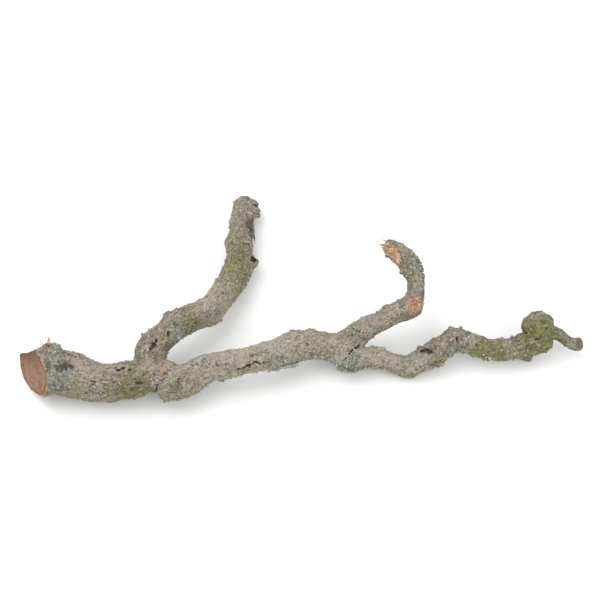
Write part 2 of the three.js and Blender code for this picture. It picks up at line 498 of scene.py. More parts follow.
def makeBareBranch():
    whole = copyOfLimbs("bareBranch")
    for end in ends.values():
        growEnd(whole, end)
    closing = branchShape["closing"] * mm
    applyModifier(whole, "DISPLACE", strength=closing, mid_level=0, direction="NORMAL")
    lumps = []
    for seed, (centre, size) in enumerate(knobs.values(), branchShape["knobSeed"]):
        lumps.append(addLump(centre, size, seed, branchShape["knobUnevenness"]))
    joinTo(whole, lumps + [addStumpCollar()])
    remesh(whole, branchShape["coarseVoxel"], branchShape["coarseSmoothing"])
    for end in ends.values():
        cutEnd(whole, end)
    cutScoop(whole)
    for seed, (centre, size) in enumerate(hollows.values(), branchShape["hollowSeed"]):
        cutWith(whole, addLump(centre, size, seed, branchShape["hollowUnevenness"]))
    remesh(whole, branchShape["fineVoxel"], branchShape["fineSmoothing"])
    return whole


branch = makeBareBranch()
print("bare branch:", len(branch.data.vertices), "vertices")


# The bark: its relief, and where it is green, pink, dark or grown over

barkRelief = {
    "sink": 0.7,
    "fullRadius": 26,  # a limb of this radius has bark of the full size
    "leastSize": 0.4,
    "mostSize": 1.15,
    "swell": {"size": 34, "height": 1.5, "seed": 21},
    "knob": {"size": 13, "height": 3.0, "seed": 22},
    "wart": {"size": 6, "height": 1.3, "seed": 23},
    "scale": {"size": 4.2, "height": 1.3, "seed": 25},
    "warp": {"size": 7, "height": 3.4, "seed": 31},
    "plate": {"along": 13, "across": 5.5, "depth": 1.0, "furrow": 0.18, "seed": 24},
    "breaks": {"size": 16, "seed": 26},
    "fibre": {"along": 9, "across": 2.2, "height": 0.65, "seed": 41},
    "wrinkle": {"along": 2.4, "across": 14, "height": 0.55, "seed": 44},
    "grit": {"size": 1.9, "height": 0.4, "seed": 45},
    "raggedEdge": {"size": 6, "height": 1.1, "fineSize": 2.6, "fineHeight": 0.9, "seed": 51},
    "hollowMargin": 1.2,
    "crackWall": (1.25, 0.35),  # where a crack's wall starts and ends, in widths of the crack
    "crackLip": {"height": 0.8, "away": 1.9, "width": 0.7},
    "rugged": {"size": 46, "seed": 11, "least": 0.25, "band": (-0.25, 0.45)},
    "wrinkled": {"size": 60, "seed": 12, "most": 0.3, "band": (0.1, 0.5)},
}
# where the bark is rugged and where it is wrinkled: x, y, z, reach and strength
ruggedPlaces = [
    (-405, -140, 80, 34, 0.7), (-232, -180, 66, 30, 0.7), (90, -122, 50, 30, 0.7), (268, -90, 50, 26, 0.7),
    (215, -125, 30, 24, 0.7),
]
wrinkledPlaces = [
    (130, -66, 70, 40, 1.0), (175, -46, 85, 22, 1.0), (-115, 176, 36, 34, 1.0), (446, -68, 44, 16, 1.0),
    (-20, -105, 70, 24, 1.0),
]
cracks = {
    "longCrack": {
        "line": [(-104, -158, 62), (-96, -156, 62), (-88, -152, 66), (-84, -152, 63), (-79, -147, 66),
                 (-73, -146, 66), (-68, -148, 63)],
        "width": 1.9,
        "depth": 6,
    },
    "upperCrack": {"line": [(-87, -135, 72), (-81, -136, 72), (-75, -134, 72)], "width": 1.2, "depth": 3},
    "forkCrevice": {
        "line": [(104, -103, 50), (97, -109, 54), (89, -118, 59), (84, -125, 58)],
        "width": 1.7,
        "depth": 5,
    },
    "forkPocket": {"line": [(78, -131, 54), (74, -134, 51)], "width": 2.0, "depth": 4},
    "humpCrevice": {
        "line": [(268, -84, 60), (269, -92, 58), (271, -98, 51), (272, -103, 42)],
        "width": 2.2,
        "depth": 4.5,
    },
    "buttSlit": {"line": [(-332, -183, 69), (-322, -184, 68), (-312, -183, 69)], "width": 1.3, "depth": 3.5},
    "buttSlitLeft": {"line": [(-348, -184, 67), (-340, -185, 67)], "width": 1.2, "depth": 2.5},
    "buttSlitLow": {"line": [(-340, -199, 52), (-327, -199, 54)], "width": 1.2, "depth": 2.5},
    "rimCrack": {"line": [(-413, -191, 54), (-404, -193, 53), (-396, -193, 54)], "width": 1.5, "depth": 4},
    "tipGroove": {
        "line": [(-123, 123, 40), (-112, 117, 50), (-100, 120, 49), (-91, 124, 42)],
        "width": 1.6,
        "depth": 3,
    },
    "knotRing": {
        "line": [(-204, -186, 67), (-199, -190, 64), (-195, -187, 66), (-197, -181, 70), (-203, -182, 70),
                 (-204, -186, 67)],
        "width": 1.1,
        "depth": 2,
    },
    "shelfRing": {
        "line": [(-184, -153, 73), (-178, -158, 72), (-172, -154, 72), (-176, -148, 72), (-184, -153, 73)],
        "width": 1.1,
        "depth": 1.6,
    },
    "burlCrease": {
        "line": [(385, -66, 52), (388, -74, 50), (394, -84, 48), (402, -89, 49), (412, -89, 53),
                 (420, -84, 57)],
        "width": 2.0,
        "depth": 3,
    },
    "heelCrescent": {"line": [(419, -104, 34), (424, -103, 36), (427, -100, 41)], "width": 1.2, "depth": 2.2},
    "heelScar": {
        "line": [(388, -104, 47), (392, -107, 43), (397, -106, 44), (396, -103, 49), (391, -101, 50),
                 (388, -104, 47)],
        "width": 0.8,
        "depth": 1.0,
    },
    "healCrease": {
        "line": [(-235, -186, 66), (-239, -190, 62), (-240, -194, 55), (-244, -193, 40), (-246, -186, 28)],
        "width": 1.6,
        "depth": 3,
    },
}
# where the solids' limbs are a little too full or too lean: x, y, z, reach and height
risesAndDents = [
    (-386, -116, 74, 13, -5.5), (-366, -122, 68, 12, -4.5), (-398, -112, 78, 8, -4.5),
    (-344, -130, 64, 14, -5.0), (-446, -186, 24, 13, -4.0), (-448, -168, 12, 12, -4.5),
    (-425, -186, 18, 12, -2.0), (-385, -192, 16, 16, -4.0), (-464, -152, 4, 11, -4.0),
    (-454, -168, 7, 9, -3.0), (-394, -112, 58, 10, -3.5), (-357, -122, 46, 12, -3.0),
    (-332, -196, 17, 20, -5.5), (-297, -194, 18, 14, -4.5), (-264, -193, 22, 9, -5.0),
    (-247, -192, 24, 7, -10.0), (-247, -183, 13, 7, -7.0), (-247, -198, 35, 7, -7.0),
    (-207, -195, 27, 12, -3.0), (-162, -170, 32, 9, -5.0), (-158, -173, 33, 8, -7.0),
    (-140, -165, 36, 9, -2.0), (57, -122, 22, 15, -7.0), (46, -124, 22, 10, -1.5), (80, -130, 18, 9, -3.5),
    (118, -132, 14, 15, -3.5), (152, -134, 10, 14, -4.0), (200, -137, 9, 9, -3.0),
    (276, -106, 22, 10, -2.0), (326, -114, 20, 12, -1.0), (355, -112, 20, 18, -2.5),
    (424, -100, 22, 11, -3.5), (-244, -70, 76, 9, -7.0), (-254, -84, 72, 9, -4.0), (-230, -56, 77, 6, 4.0),
    (-206, -34, 72, 8, -5.0), (-184, -16, 67, 11, -8.0), (-90, 178, 28, 9, -4.0), (-90, 160, 28, 8, -3.0),
    (-84, 128, 28, 6, -3.0), (-166, 6, 61, 10, -5.0), (-158, -48, 46, 9, 3.0), (-150, -60, 50, 9, 3.0),
    (-138, -84, 48, 8, 1.0), (-84, 112, 30, 8, -4.0), (-204, -152, 66, 8, -5.0), (-276, -122, 62, 8, -2.5),
    (128, -46, 72, 9, -6.5), (145, -77, 49, 14, -5.0), (172, -63, 55, 9, -3.0), (107, -94, 54, 8, -6.0),
    (238, -74, 44, 9, -5.0), (266, -67, 64, 10, -4.5), (289, -72, 54, 9, -4.0), (180, -21, 85, 7, -3.0),
    (169, 20, 100, 7, -3.0), (207, -50, 74, 7, 4.0), (-122, 236, 24, 11, 3.5), (-128, 206, 26, 11, 3.0),
    (-129, 184, 28, 8, 3.0), (-100, 244, 26, 8, 2.5), (-132, 150, 32, 6, 2.5), (-88, 60, 30, 8, -2.5),
    (-120, -118, 66, 9, 1.5), (-90, -112, 66, 8, -1.0), (62, -84, 58, 8, 2.5), (150, -101, 38, 8, 2.5),
    (434, -54, 58, 7, 3.0), (330, -80, 44, 6, -2.0), (478, -88, 30, 12, 2.6), (392, -80, 54, 6, -3.5),
    (401, -89, 48, 5, -2.5), (430, -92, 40, 9, 2.5),
]
# where the bark has each colouring: x, y, z, reach and strength
barkPatches = {
    "green": [
        (-372, -193, 56, 18, 0.7), (-299, -195, 57, 22, 0.8), (-270, -192, 58, 14, 1.2),
        (-203, -194, 59, 12, 1.0), (-191, -80, 77, 20, 0.9), (-120, 69, 59, 24, 0.8),
        (-111, 44, 61, 20, 0.7), (-108, 169, 41, 14, 0.7), (-54, -130, 72, 12, 0.9),
        (-11, -131, 60, 12, 1.2), (48, -120, 54, 12, 0.8), (316, -110, 46, 14, 1.2),
        (327, -114, 41, 14, 1.2), (241, -118, 42, 10, 0.6), (409, -76, 58, 19, 0.9),
        (429, -79, 53, 16, 1.2), (397, -79, 56, 16, 0.9), (416, -95, 40, 22, 0.9), (454, -77, 41, 12, 0.8),
        (192, 0, 100, 22, 0.5), (177, -45, 80, 12, 0.5), (85, -95, 60, 16, 0.6), (350, -108, 40, 20, 0.5),
        (-125, -2, 63, 16, 0.7), (-116, 104, 56, 22, 0.7), (-140, 24, 64, 15, 0.5),
        (-114, 132, 50, 14, 0.5), (-165, -70, 70, 16, 0.4),
    ],
    "blush": [
        (-361, -160, 74, 24, 0.9), (-335, -166, 70, 20, 0.8), (-218, -75, 91, 9, 0.8),
        (-211, -165, 75, 14, 1.0), (-245, -182, 67, 12, 0.9), (-119, 177, 39, 14, 0.9),
        (-123, 138, 45, 10, 1.2), (-155, -19, 80, 9, 0.8), (-136, -1, 71, 7, 0.9), (-164, -34, 83, 9, 0.8),
        (-110, -143, 73, 16, 0.8), (-26, -100, 70, 24, 0.8), (41, -90, 62, 20, 0.9),
        (-74, -122, 73, 16, 0.6), (124, -68, 70, 30, 0.9), (146, -66, 80, 14, 0.7), (159, -128, 37, 9, 0.8),
        (239, -102, 54, 10, 0.9), (444, -64, 47, 8, 0.9), (413, -48, 72, 16, 1.1),
        (-170, -160, 68, 16, 0.6), (350, -92, 46, 18, 0.5),
    ],
    # listed patches where the bark is painted lighter
    "paler": [
        (-150, -20, 60, 36, 1.5), (-175, -50, 34, 22, 0.8), (-90, -130, 60, 34, 0.9),
        (-30, -120, 60, 34, 0.9), (30, -100, 55, 30, 0.2), (95, -126, 42, 26, 2.1),
        (150, -112, 30, 26, 0.7), (-190, -165, 60, 26, 0.7), (-135, -140, 60, 24, 1.3),
        (190, -120, 30, 26, 0.7), (-115, 60, 40, 30, 0.2), (-350, -195, 50, 30, 0.6),
        (170, -50, 80, 16, 0.3),
    ],
    "grey": [
        (-401, -183, 73, 13, 1.2), (-397, -164, 83, 15, 0.9), (-414, -143, 87, 8, 1.0),
        (-385, -171, 78, 5, 0.9), (-413, -165, 88, 5, 0.8), (-206, -96, 73, 10, 0.9),
        (-212, -83, 90, 7, 0.8), (-34, -138, 62, 12, 1.2), (24, -120, 41, 12, 0.6), (63, -136, 42, 12, 0.8),
        (73, -139, 36, 9, 0.8), (94, -128, 53, 10, 1.0), (92, -136, 44, 10, 1.0), (110, -119, 50, 5, 0.8),
        (259, -101, 52, 8, 1.0), (287, -85, 60, 11, 1.2), (278, -104, 39, 8, 1.0), (260, -110, 39, 8, 0.9),
        (185, 38, 128, 7, 0.8), (204, 26, 115, 9, 1.2), (209, 20, 108, 7, 1.2), (209, -16, 92, 5, 1.2),
        (-104, -152, 70, 6, 0.5), (224, -130, 31, 9, 0.7), (-90, 158, 26, 9, 0.9),
        (-360, -196, 40, 16, 0.5), (-180, -150, 70, 12, 0.6),
    ],
    # the dark patches are partly the bark's own dark patches and partly painted shade beside the hollows,
    # crevices, the healed wound and under the heel
    "dark": [
        (-399, -168, 83, 11, 1.1), (-390, -162, 82, 7, 0.6), (-229, -175, 76, 1.8, 1.7),
        (-246, -122, 82, 5, 0.9), (-381, -165, 79, 4, 0.8), (-98, 240, 30, 5, 0.7), (268, -96, 52, 5, 0.6),
        (282, -80, 60, 6, 0.4), (179, 17, 104, 5, 0.6), (390, -112, 24, 9, 0.7), (195, 8, 109, 3, 1.0),
        (192, -6, 96, 3, 0.8), (150, 42, 106, 6, 0.7),
    ],
    "bareWood": [
        (-225, -167, 78, 3.8, 0.9), (-230, -172, 77, 4.2, 0.9), (-235, -180, 72, 3.2, 0.9),
        (-240, -117, 82, 4.5, 0.75), (-82, 82, 37, 4.5, 1.0), (-86, 221, 31, 3.5, 1.0),
        (-123, 139, 45, 4, 0.45), (-121, 133, 45, 2.5, 0.7), (395, -107, 42, 2.5, 0.8),
        (-120, 168, 38, 9, 0.45), (-116, 196, 34, 9, 0.45), (-122, 148, 42, 8, 0.45),
        (-106, 226, 32, 9, 0.4),
    ],
}
# a corner belongs to a cut face when it is this near its plane and faces this much its way
cutFace = {
    "within": 1.3,
    "towards": 0.55,
    "evening": 12,
    "rimSearch": 8,  # how far past an end's reach its rim is looked for
    "overgrowth": {"size": 6, "seed": 76, "unevenness": 1.3},
    "scoopWithin": 1.6,
    "scoopReach": 110,
}
# what is added to the patches all over the bark
allOverBark = {
    "light": (0.6, 0.75),  # how much facing away from the viewer and upwards counts towards the lit side: blush there is partly painted light, green turned away from it partly painted shade
    "patchNoise": (24, 3, 61),
    "green": {"below": 0.48, "band": (0.75, -0.5), "noise": 0.4},
    "blush": {"above": 0.4, "band": (0.2, 0.9), "noise": -0.4},
    # random patches where the bark is painted lighter
    "paler": {"size": 26, "seed": 67, "height": 0.3},
    "grey": {"size": 17, "seed": 66, "height": 0.25},
}


def patchStrength(points, patches):
    total = np.zeros(len(points))
    for x, y, z, reach, strength in patches:
        away = np.sum((points - (x, y, z)) ** 2, axis=1)
        total += strength * np.exp(-0.5 * away / reach**2)
    return total


def nearLine(points, line):
    nearest = np.full(len(points), 1e9)
    for start, stop in zip(line, line[1:]):
        start, stop = np.array(start, float), np.array(stop, float)
        along = stop - start
        share = np.clip(((points - start) @ along) / (along @ along), 0, 1)
        nearest = np.minimum(nearest, np.linalg.norm(points - start - share[:, None] * along, axis=1))
    return nearest


def onEnd(points, normals, end):
    facing = np.array(Vector(end["facing"]).normalized())
    away = points - np.array(cutPlace(end))
    height = away @ facing
    flat = (np.abs(height) < cutFace["within"]) & (normals @ facing > cutFace["towards"])
    return flat & (np.linalg.norm(away, axis=1) < end["reach"])


def wayFromRim(points, cut, centre, reach):
    near = np.linalg.norm(points - np.array(centre), axis=1) < reach
    rim = points[near & ~cut]
    tree = KDTree(len(rim))
    for i, corner in enumerate(rim):
        tree.insert(corner, i)
    tree.balance()
    return np.array([tree.find(corner)[2] for corner in points[cut]])


def onPlaneOf(points, end):
    facing = Vector(end["facing"]).normalized()
    across = facing.cross((0, 0, 1)).normalized()
    upwards = facing.cross(across)
    away = points - np.array(end["pith"])
    return np.stack([away @ np.array(across), away @ np.array(upwards), np.zeros(len(points))], axis=1)


# how a torn or sawn face is roughened; how strongly is said with each end
tearing = {
    "lumps": {"layers": 3, "seed": 71},
    "ridges": {"share": 0.8, "size": 0.6, "seed": 75, "below": 0.25},
    "saw": {"pitch": 2.1, "sway": 1.5, "swaySize": 20, "seed": 74},
    "checks": {"size": 6, "width": 0.05, "seed": 73},
    "calmRim": 2.5,
}


def tornRise(plane, fromRim, rough):
    # torn lumps and ridges, saw ridges and drying checks, none of them at the very rim
    lumps, ridges, saw, checks = (tearing[name] for name in ("lumps", "ridges", "saw", "checks"))
    rise = rough["tear"] * layeredNoise(plane, rough["grain"], lumps["layers"], lumps["seed"])
    ridged = np.abs(smoothNoise(plane, rough["grain"] * ridges["size"], ridges["seed"]))
    rise += rough["tear"] * ridges["share"] * (ridged - ridges["below"])
    sway = saw["sway"] * smoothNoise(plane, saw["swaySize"], saw["seed"])
    rise += rough["saw"] * np.sin(plane[:, 1] * saw["pitch"] + sway)
    split = np.abs(smoothNoise(plane / checks["size"] + 3, 1, checks["seed"]))
    rise -= rough["checks"] * smoothStep(checks["width"], 0.0, split)
    return rise * smoothStep(0.0, tearing["calmRim"], fromRim)


def onScoop(points, normals):
    facing = np.array(Vector(scoop["facing"]).normalized())
    away = points - np.array(scoop["middle"])
    out = away - np.outer(away @ facing, facing)
    distance = np.linalg.norm(out, axis=1)
    inwards = np.sum(normals * out, axis=1) / (distance + 1e-9) < -0.5
    nearWall = np.abs(distance - scoop["radius"]) < cutFace["scoopWithin"]
    return nearWall & inwards & (points[:, 0] < scoop["endsAt"])


def setNumbers(mesh, name, values):
    kind = "FLOAT" if values.ndim == 1 else "FLOAT_VECTOR"
    attribute = mesh.attributes.get(name) or mesh.attributes.new(name, kind, "POINT")
    flat = values.reshape(-1).astype(np.float32)
    attribute.data.foreach_set("value" if kind == "FLOAT" else "vector", flat)


def getNumbers(mesh, name):
    attribute = mesh.attributes[name]
    wide = attribute.data_type == "FLOAT_VECTOR"
    values = np.zeros(len(mesh.vertices) * (3 if wide else 1), np.float32)
    attribute.data.foreach_get("vector" if wide else "value", values)
    return values.reshape(-1, 3) if wide else values


def stretchedAlong(grain, layer):
    return grain / (layer["along"], layer["across"], layer["across"])


def reliefOf(points, grain, radius):
    # how far the bark rises, its broad shape alone, and its fine relief alone
    relief = barkRelief
    size = np.clip(radius / relief["fullRadius"], relief["leastSize"], relief["mostSize"])
    layer = relief["rugged"]
    rugged = smoothStep(*layer["band"], smoothNoise(points, layer["size"], layer["seed"]))
    rugged = layer["least"] + (1 - layer["least"]) * rugged
    rugged += patchStrength(points, ruggedPlaces)
    layer = relief["wrinkled"]
    wrinkled = smoothStep(*layer["band"], smoothNoise(points, layer["size"], layer["seed"]))
    wrinkled = np.clip(patchStrength(points, wrinkledPlaces) + layer["most"] * wrinkled, 0, 1)

    swell, knob, wart, scale = (relief[name] for name in ("swell", "knob", "wart", "scale"))
    swells = swell["height"] * smoothNoise(points, swell["size"], swell["seed"])
    nearest, second, chance = cellNoise(points, knob["size"], knob["seed"])
    bumps = knob["height"] * (0.5 - nearest) * (0.5 + chance) * (0.6 + 0.5 * rugged)
    nearest, second, chance = cellNoise(points, wart["size"], wart["seed"])
    warts = wart["height"] * smoothStep(0.55, 0.05, nearest) * (chance > 0.5) * (0.4 + rugged)
    ridged = 0.45 - np.abs(layeredNoise(points, scale["size"], 2, scale["seed"]))
    scales = scale["height"] * ridged * (0.5 + 0.6 * rugged)

    warp, plate, breaks = relief["warp"], relief["plate"], relief["breaks"]
    warped = [smoothNoise(points, warp["size"], warp["seed"] + axis) for axis in range(3)]
    warped = warp["height"] * np.stack(warped, axis=1)
    nearest, second, chance = cellNoise(stretchedAlong(grain + warped, plate), 1.0, plate["seed"])
    broken = smoothStep(-0.1, 0.35, smoothNoise(points, breaks["size"], breaks["seed"]))
    furrow = smoothStep(plate["furrow"], 0.0, second - nearest) * broken
    plates = rugged * (0.7 * (chance - 0.5) - plate["depth"] * furrow)

    fibre, wrinkle, grit = relief["fibre"], relief["wrinkle"], relief["grit"]
    fibres = layeredNoise(stretchedAlong(grain + 0.5 * warped, fibre), 1.0, 2, fibre["seed"])
    wrinkles = smoothNoise(stretchedAlong(grain + 0.4 * warped, wrinkle), 1.0, wrinkle["seed"])
    grits = smoothNoise(points, grit["size"], grit["seed"])

    shape = size * (swells + bumps) + patchStrength(points, risesAndDents) - relief["sink"]
    fine = warts + scales + plates * (1 - 0.6 * wrinkled) + fibre["height"] * fibres
    fine += wrinkle["height"] * wrinkled * wrinkles + grit["height"] * grits
    return shape + np.clip(size + 0.15, 0.5, 1.1) * fine, shape, fine


def sinkCracks(points, height):
    # the cracks are cut in with raised lips, and the bark stays smooth in the hollows
    edge = barkRelief["raggedEdge"]
    ragged = edge["height"] * smoothNoise(points, edge["size"], edge["seed"])
    ragged += edge["fineHeight"] * smoothNoise(points, edge["fineSize"], edge["seed"] + 1)
    deep = np.zeros(len(points))
    outer, inner = barkRelief["crackWall"]
    rim = barkRelief["crackLip"]
    for crack in cracks.values():
        width = crack["width"]
        reach = nearLine(points, crack["line"]) + ragged
        cut = smoothStep(outer * width, inner * width, reach)
        lip = np.exp(-0.5 * ((reach - rim["away"] * width) / (rim["width"] * width)) ** 2)
        height = height - crack["depth"] * cut + rim["height"] * lip
        deep = np.maximum(deep, cut)
    for centre, extent in hollows.values():
        reach = np.array(extent) + barkRelief["hollowMargin"]
        away = np.linalg.norm((points - centre) / reach, axis=1) + 0.08 * ragged
        deep = np.maximum(deep, smoothStep(1.0, 0.75, away))
        height = height - height * smoothStep(1.05, 0.8, away)
    return height, deep


def moveCutFaces(points, normals, shape, moved):
    # the sawn and torn faces keep to their plane, and spread with the bark around them
    cutEndOf, cutSpace, rimDepth = np.zeros(len(points)), np.zeros(points.shape), np.zeros(len(points))
    overgrowth = cutFace["overgrowth"]
    unevenness = smoothNoise(points, overgrowth["size"], overgrowth["seed"])
    unevenness = 1 + overgrowth["unevenness"] * unevenness
    for number, end in enumerate(ends.values(), 1):
        flat = onEnd(points, normals, end)
        cutSpace[flat] = onPlaneOf(points[flat], end)
        rimDepth[flat] = wayFromRim(points, flat, cutPlace(end), end["reach"] + cutFace["rimSearch"])
        facing = np.array(Vector(end["facing"]).normalized())
        rise = tornRise(cutSpace[flat], rimDepth[flat], end["roughness"])
        outwards = points[flat] - np.array(cutPlace(end))
        outwards -= np.outer(outwards @ facing, facing)
        outwards /= np.linalg.norm(outwards, axis=1)[:, None] + 1e-9
        spread = shape[flat] * smoothStep(cutFace["evening"], 0, rimDepth[flat])
        moved[flat] = points[flat] + facing * rise[:, None] + outwards * spread[:, None]
        overgrown = rimDepth < end["barkLip"] * unevenness
        cutEndOf[flat & ~overgrown] = number
    bitten = onScoop(points, normals)
    cutSpace[bitten] = points[bitten] * (0.5, 1, 1) - np.array(scoop["middle"])
    rimDepth[bitten] = wayFromRim(points, bitten, scoop["middle"], cutFace["scoopReach"])
    rise = tornRise(cutSpace[bitten], rimDepth[bitten], scoop["roughness"])
    moved[bitten] = points[bitten] + normals[bitten] * rise[:, None]
    cutEndOf[bitten] = len(ends) + 1
    return {"cutEndOf": cutEndOf, "cutSpace": cutSpace, "rimDepth": rimDepth}


def patchNumbers(points, normals):
    # green is laid low down and towards the viewer, as algae and painted shade, and blush on the upper side
    # away from the viewer, as pink bark and painted light
    away, upwards = allOverBark["light"]
    litSide = normals[:, 2] * upwards + normals[:, 1] * away
    patchy = layeredNoise(points, *allOverBark["patchNoise"])
    green, blush = allOverBark["green"], allOverBark["blush"]
    allOver = {
        "green": green["below"] * smoothStep(*green["band"], litSide) + green["noise"] * patchy,
        "blush": blush["above"] * smoothStep(*blush["band"], litSide) + blush["noise"] * patchy,
    }
    for name in ("paler", "grey"):
        layer = allOverBark[name]
        allOver[name] = layer["height"] * smoothNoise(points, layer["size"], layer["seed"])
    return {
        name: patchStrength(points, patches) + allOver.get(name, 0)
        for name, patches in barkPatches.items()
    }


def raiseBark(whole):
    mesh = whole.data
    points = readPoints(mesh) / mm - np.array(drawingOffset)
    normals = readNormals(mesh)
    grain, radius = limbSpace(points)
    height, shape, fine = reliefOf(points, grain, radius)
    height, deep = sinkCracks(points, height)
    moved = points + normals * height[:, None]
    cutNumbers = moveCutFaces(points, normals, shape, moved)
    moved[:, 2] = np.maximum(moved[:, 2], 0.0)
    writePoints(mesh, (moved + np.array(drawingOffset)) * mm)
    numbers = {"grain": grain, "relief": np.clip(fine / 1.6, -1, 1), "deep": deep}
    for name, values in {**numbers, **patchNumbers(points, normals), **cutNumbers}.items():
        setNumbers(mesh, name, values)


raiseBark(branch)
print("bark raised")


# The limbs, parted again where the drawing parts them

forks = [
    {"name": "endTwig", "node": "end_twig", "slot": "mossy_bark",
     "near": (441, -72), "heading": 0, "size": (80, 70)},
    {"name": "rightSideLimb", "node": "right_side_limb", "slot": "tan_bark",
     "near": (88, -27), "heading": 20, "size": (180, 148)},
    {"name": "outerLimb", "node": "outer_limb", "slot": "mossy_bark",
     "near": (89, -100), "heading": -4, "size": (400, 190)},
    {"name": "leftSideLimb", "node": "left_side_limb", "slot": "mossy_bark",
     "near": (-150, -99), "heading": 100, "size": (400, 270)},
    {"name": "middleLimb", "node": "middle_limb", "slot": "tan_bark",
     "near": (-238, -150), "heading": -8, "size": (360, 330)},
]
buttLimb = {"name": "buttLimb", "node": "butt_limb", "slot": "grey_bark"}
forkCut = {"gap": 0.12, "height": 400}


def forkBlock(fork, gap=0.0):
    angle = math.radians(fork["heading"])
    length, width = fork["size"]
    middle = (
        fork["near"][0] + math.cos(angle) * (length / 2 + gap),
        fork["near"][1] + math.sin(angle) * (length / 2 + gap),
        0,
    )
    bpy.ops.mesh.primitive_cube_add(size=1, location=place(middle), rotation=(0, 0, angle))
    block = bpy.context.object
    block.scale = (length * mm, (width - 2 * gap) * mm, forkCut["height"] * mm)
    bakePlace(block)
    return block


def partLimbs(whole):
    limbs = {}
    for fork in forks:
        limb = bpy.data.objects.new(fork["name"], whole.data.copy())
        scene.collection.objects.link(limb)
        cutWith(limb, forkBlock(fork, forkCut["gap"]), "INTERSECT")
        cutWith(whole, forkBlock(fork))
        limbs[fork["name"]] = limb
    whole.name = buttLimb["name"]
    limbs[buttLimb["name"]] = whole
    return limbs


# The materials: bark, and the wood of each cut

barkColours = {
    "tan": (0.282, 0.220, 0.148),
    "brown": (0.128, 0.099, 0.065),
    "pit": (0.085, 0.066, 0.044),
    "blush": (0.358, 0.266, 0.232),
    "pale": (0.520, 0.492, 0.410),
    "green": (0.150, 0.146, 0.052),
    "vivid": (0.222, 0.226, 0.058),
    "mould": (0.078, 0.080, 0.032),
    "paleWash": (0.456, 0.404, 0.330),
    "grey": (0.382, 0.390, 0.374),
    "dark": (0.028, 0.021, 0.017),
    "wood": (0.385, 0.262, 0.186),
}
barkKinds = {
    "grey_bark": {"green": 0.75, "blush": 0.7, "pale": 1.15, "grey": 1.1, "shade": 0.99},
    "tan_bark": {"green": 0.85, "blush": 0.8, "pale": 1.1, "grey": 0.9, "shade": 1.0},
    "mossy_bark": {"green": 1.1, "blush": 0.6, "pale": 1.05, "grey": 1.0, "shade": 0.97},
}


class Nodes:
    def __init__(self, name, ground):
        self.colour = ground
        self.material = bpy.data.materials.new(name)
        self.material.use_nodes = True
        self.tree = self.material.node_tree
        self.shader = self.tree.nodes["Principled BSDF"]

    def link(self, source, socket):
        self.tree.links.new(source, socket)

    def add(self, kind, **values):
        node = self.tree.nodes.new("ShaderNode" + kind)
        for key, value in values.items():
            setattr(node, key, value)
        return node

    def number(self, name):
        return self.add("Attribute", attribute_name=name).outputs["Fac"]

    def vector(self, name):
        return self.add("Attribute", attribute_name=name).outputs["Vector"]

    def place(self):
        return self.add("TexCoord").outputs["Object"]

    def stretch(self, vector, scale):
        node = self.add("Mapping")
        node.inputs["Scale"].default_value = scale
        self.link(vector, node.inputs["Vector"])
        return node.outputs["Vector"]

    def along(self, vector, direction):
        node = self.add("VectorMath", operation="DOT_PRODUCT")
        node.inputs[1].default_value = direction
        self.link(vector, node.inputs[0])
        return node.outputs["Value"]

    def noise(self, vector, scale, detail=4.0, roughness=0.6, distortion=0.0):
        node = self.add("TexNoise")
        node.inputs["Scale"].default_value = scale
        node.inputs["Detail"].default_value = detail
        node.inputs["Roughness"].default_value = roughness
        node.inputs["Distortion"].default_value = distortion
        self.link(vector, node.inputs["Vector"])
        return node.outputs["Fac"]

    def cells(self, vector, scale):
        node = self.add("TexVoronoi", feature="F1")
        node.inputs["Scale"].default_value = scale
        self.link(vector, node.inputs["Vector"])
        return node.outputs["Distance"]

    def between(self, value, low, high, start=0.0, stop=1.0):
        node = self.add("MapRange", interpolation_type="SMOOTHSTEP")
        for name, number in zip(("From Min", "From Max", "To Min", "To Max"), (low, high, start, stop)):
            node.inputs[name].default_value = number
        self.link(value, node.inputs["Value"])
        return node.outputs["Result"]

    def sum(self, operation, first, second):
        node = self.add("Math", operation=operation)
        for socket, value in zip(node.inputs, (first, second)):
            if isinstance(value, (int, float)):
                socket.default_value = value
            else:
                self.link(value, socket)
        return node.outputs["Value"]

    def blend(self, factor, below, above, kind="MIX"):
        node = self.add("Mix", data_type="RGBA", blend_type=kind)
        for socket, value in zip((node.inputs[0], node.inputs[6], node.inputs[7]), (factor, below, above)):
            if isinstance(value, (int, float)):
                socket.default_value = value
            elif isinstance(value, tuple):
                socket.default_value = (*value, 1)
            else:
                self.link(value, socket)
        return node.outputs[2]

    def paint(self, colour, mask, band=None, share=1.0, kind="MIX"):
        # lays a colour over what is there, as strongly as the mask says
        if band:
            low, high, start, stop = band
            mask = self.between(mask, low, high, start * share, stop * share)
        self.colour = self.blend(mask, self.colour, colour, kind)

    def bump(self, height, strength, distance):
        node = self.add("Bump")
        node.inputs["Strength"].default_value = strength
        node.inputs["Distance"].default_value = distance
        self.link(height, node.inputs["Height"])
        self.link(node.outputs["Normal"], self.shader.inputs["Normal"])

    def finish(self, roughness):
        self.link(self.colour, self.shader.inputs["Base Color"])
        if isinstance(roughness, (int, float)):
            self.shader.inputs["Roughness"].default_value = roughness
        else:
            self.link(roughness, self.shader.inputs["Roughness"])
        return self.material


# the noises of the bark: scale, detail, roughness and distortion
barkNoises = {
    "slow": (34, 5, 0.62),
    "middling": (120, 5, 0.65),
    "fine": (330, 5, 0.75),
    "mould": (150, 5, 0.75),
    "crust": (190, 5, 0.78, 0.3),
    "cluster": (55, 3),
    "pepper": (270, 4, 0.75),
}
# the same for the noises that follow the grain, after how they are drawn out along it
grainNoises = {
    "streak": ((0.10, 0.5, 0.5), (1.0, 5, 0.7)),
    "thread": ((0.10, 0.36, 0.36), (1.0, 5, 0.75, 0.6)),
}
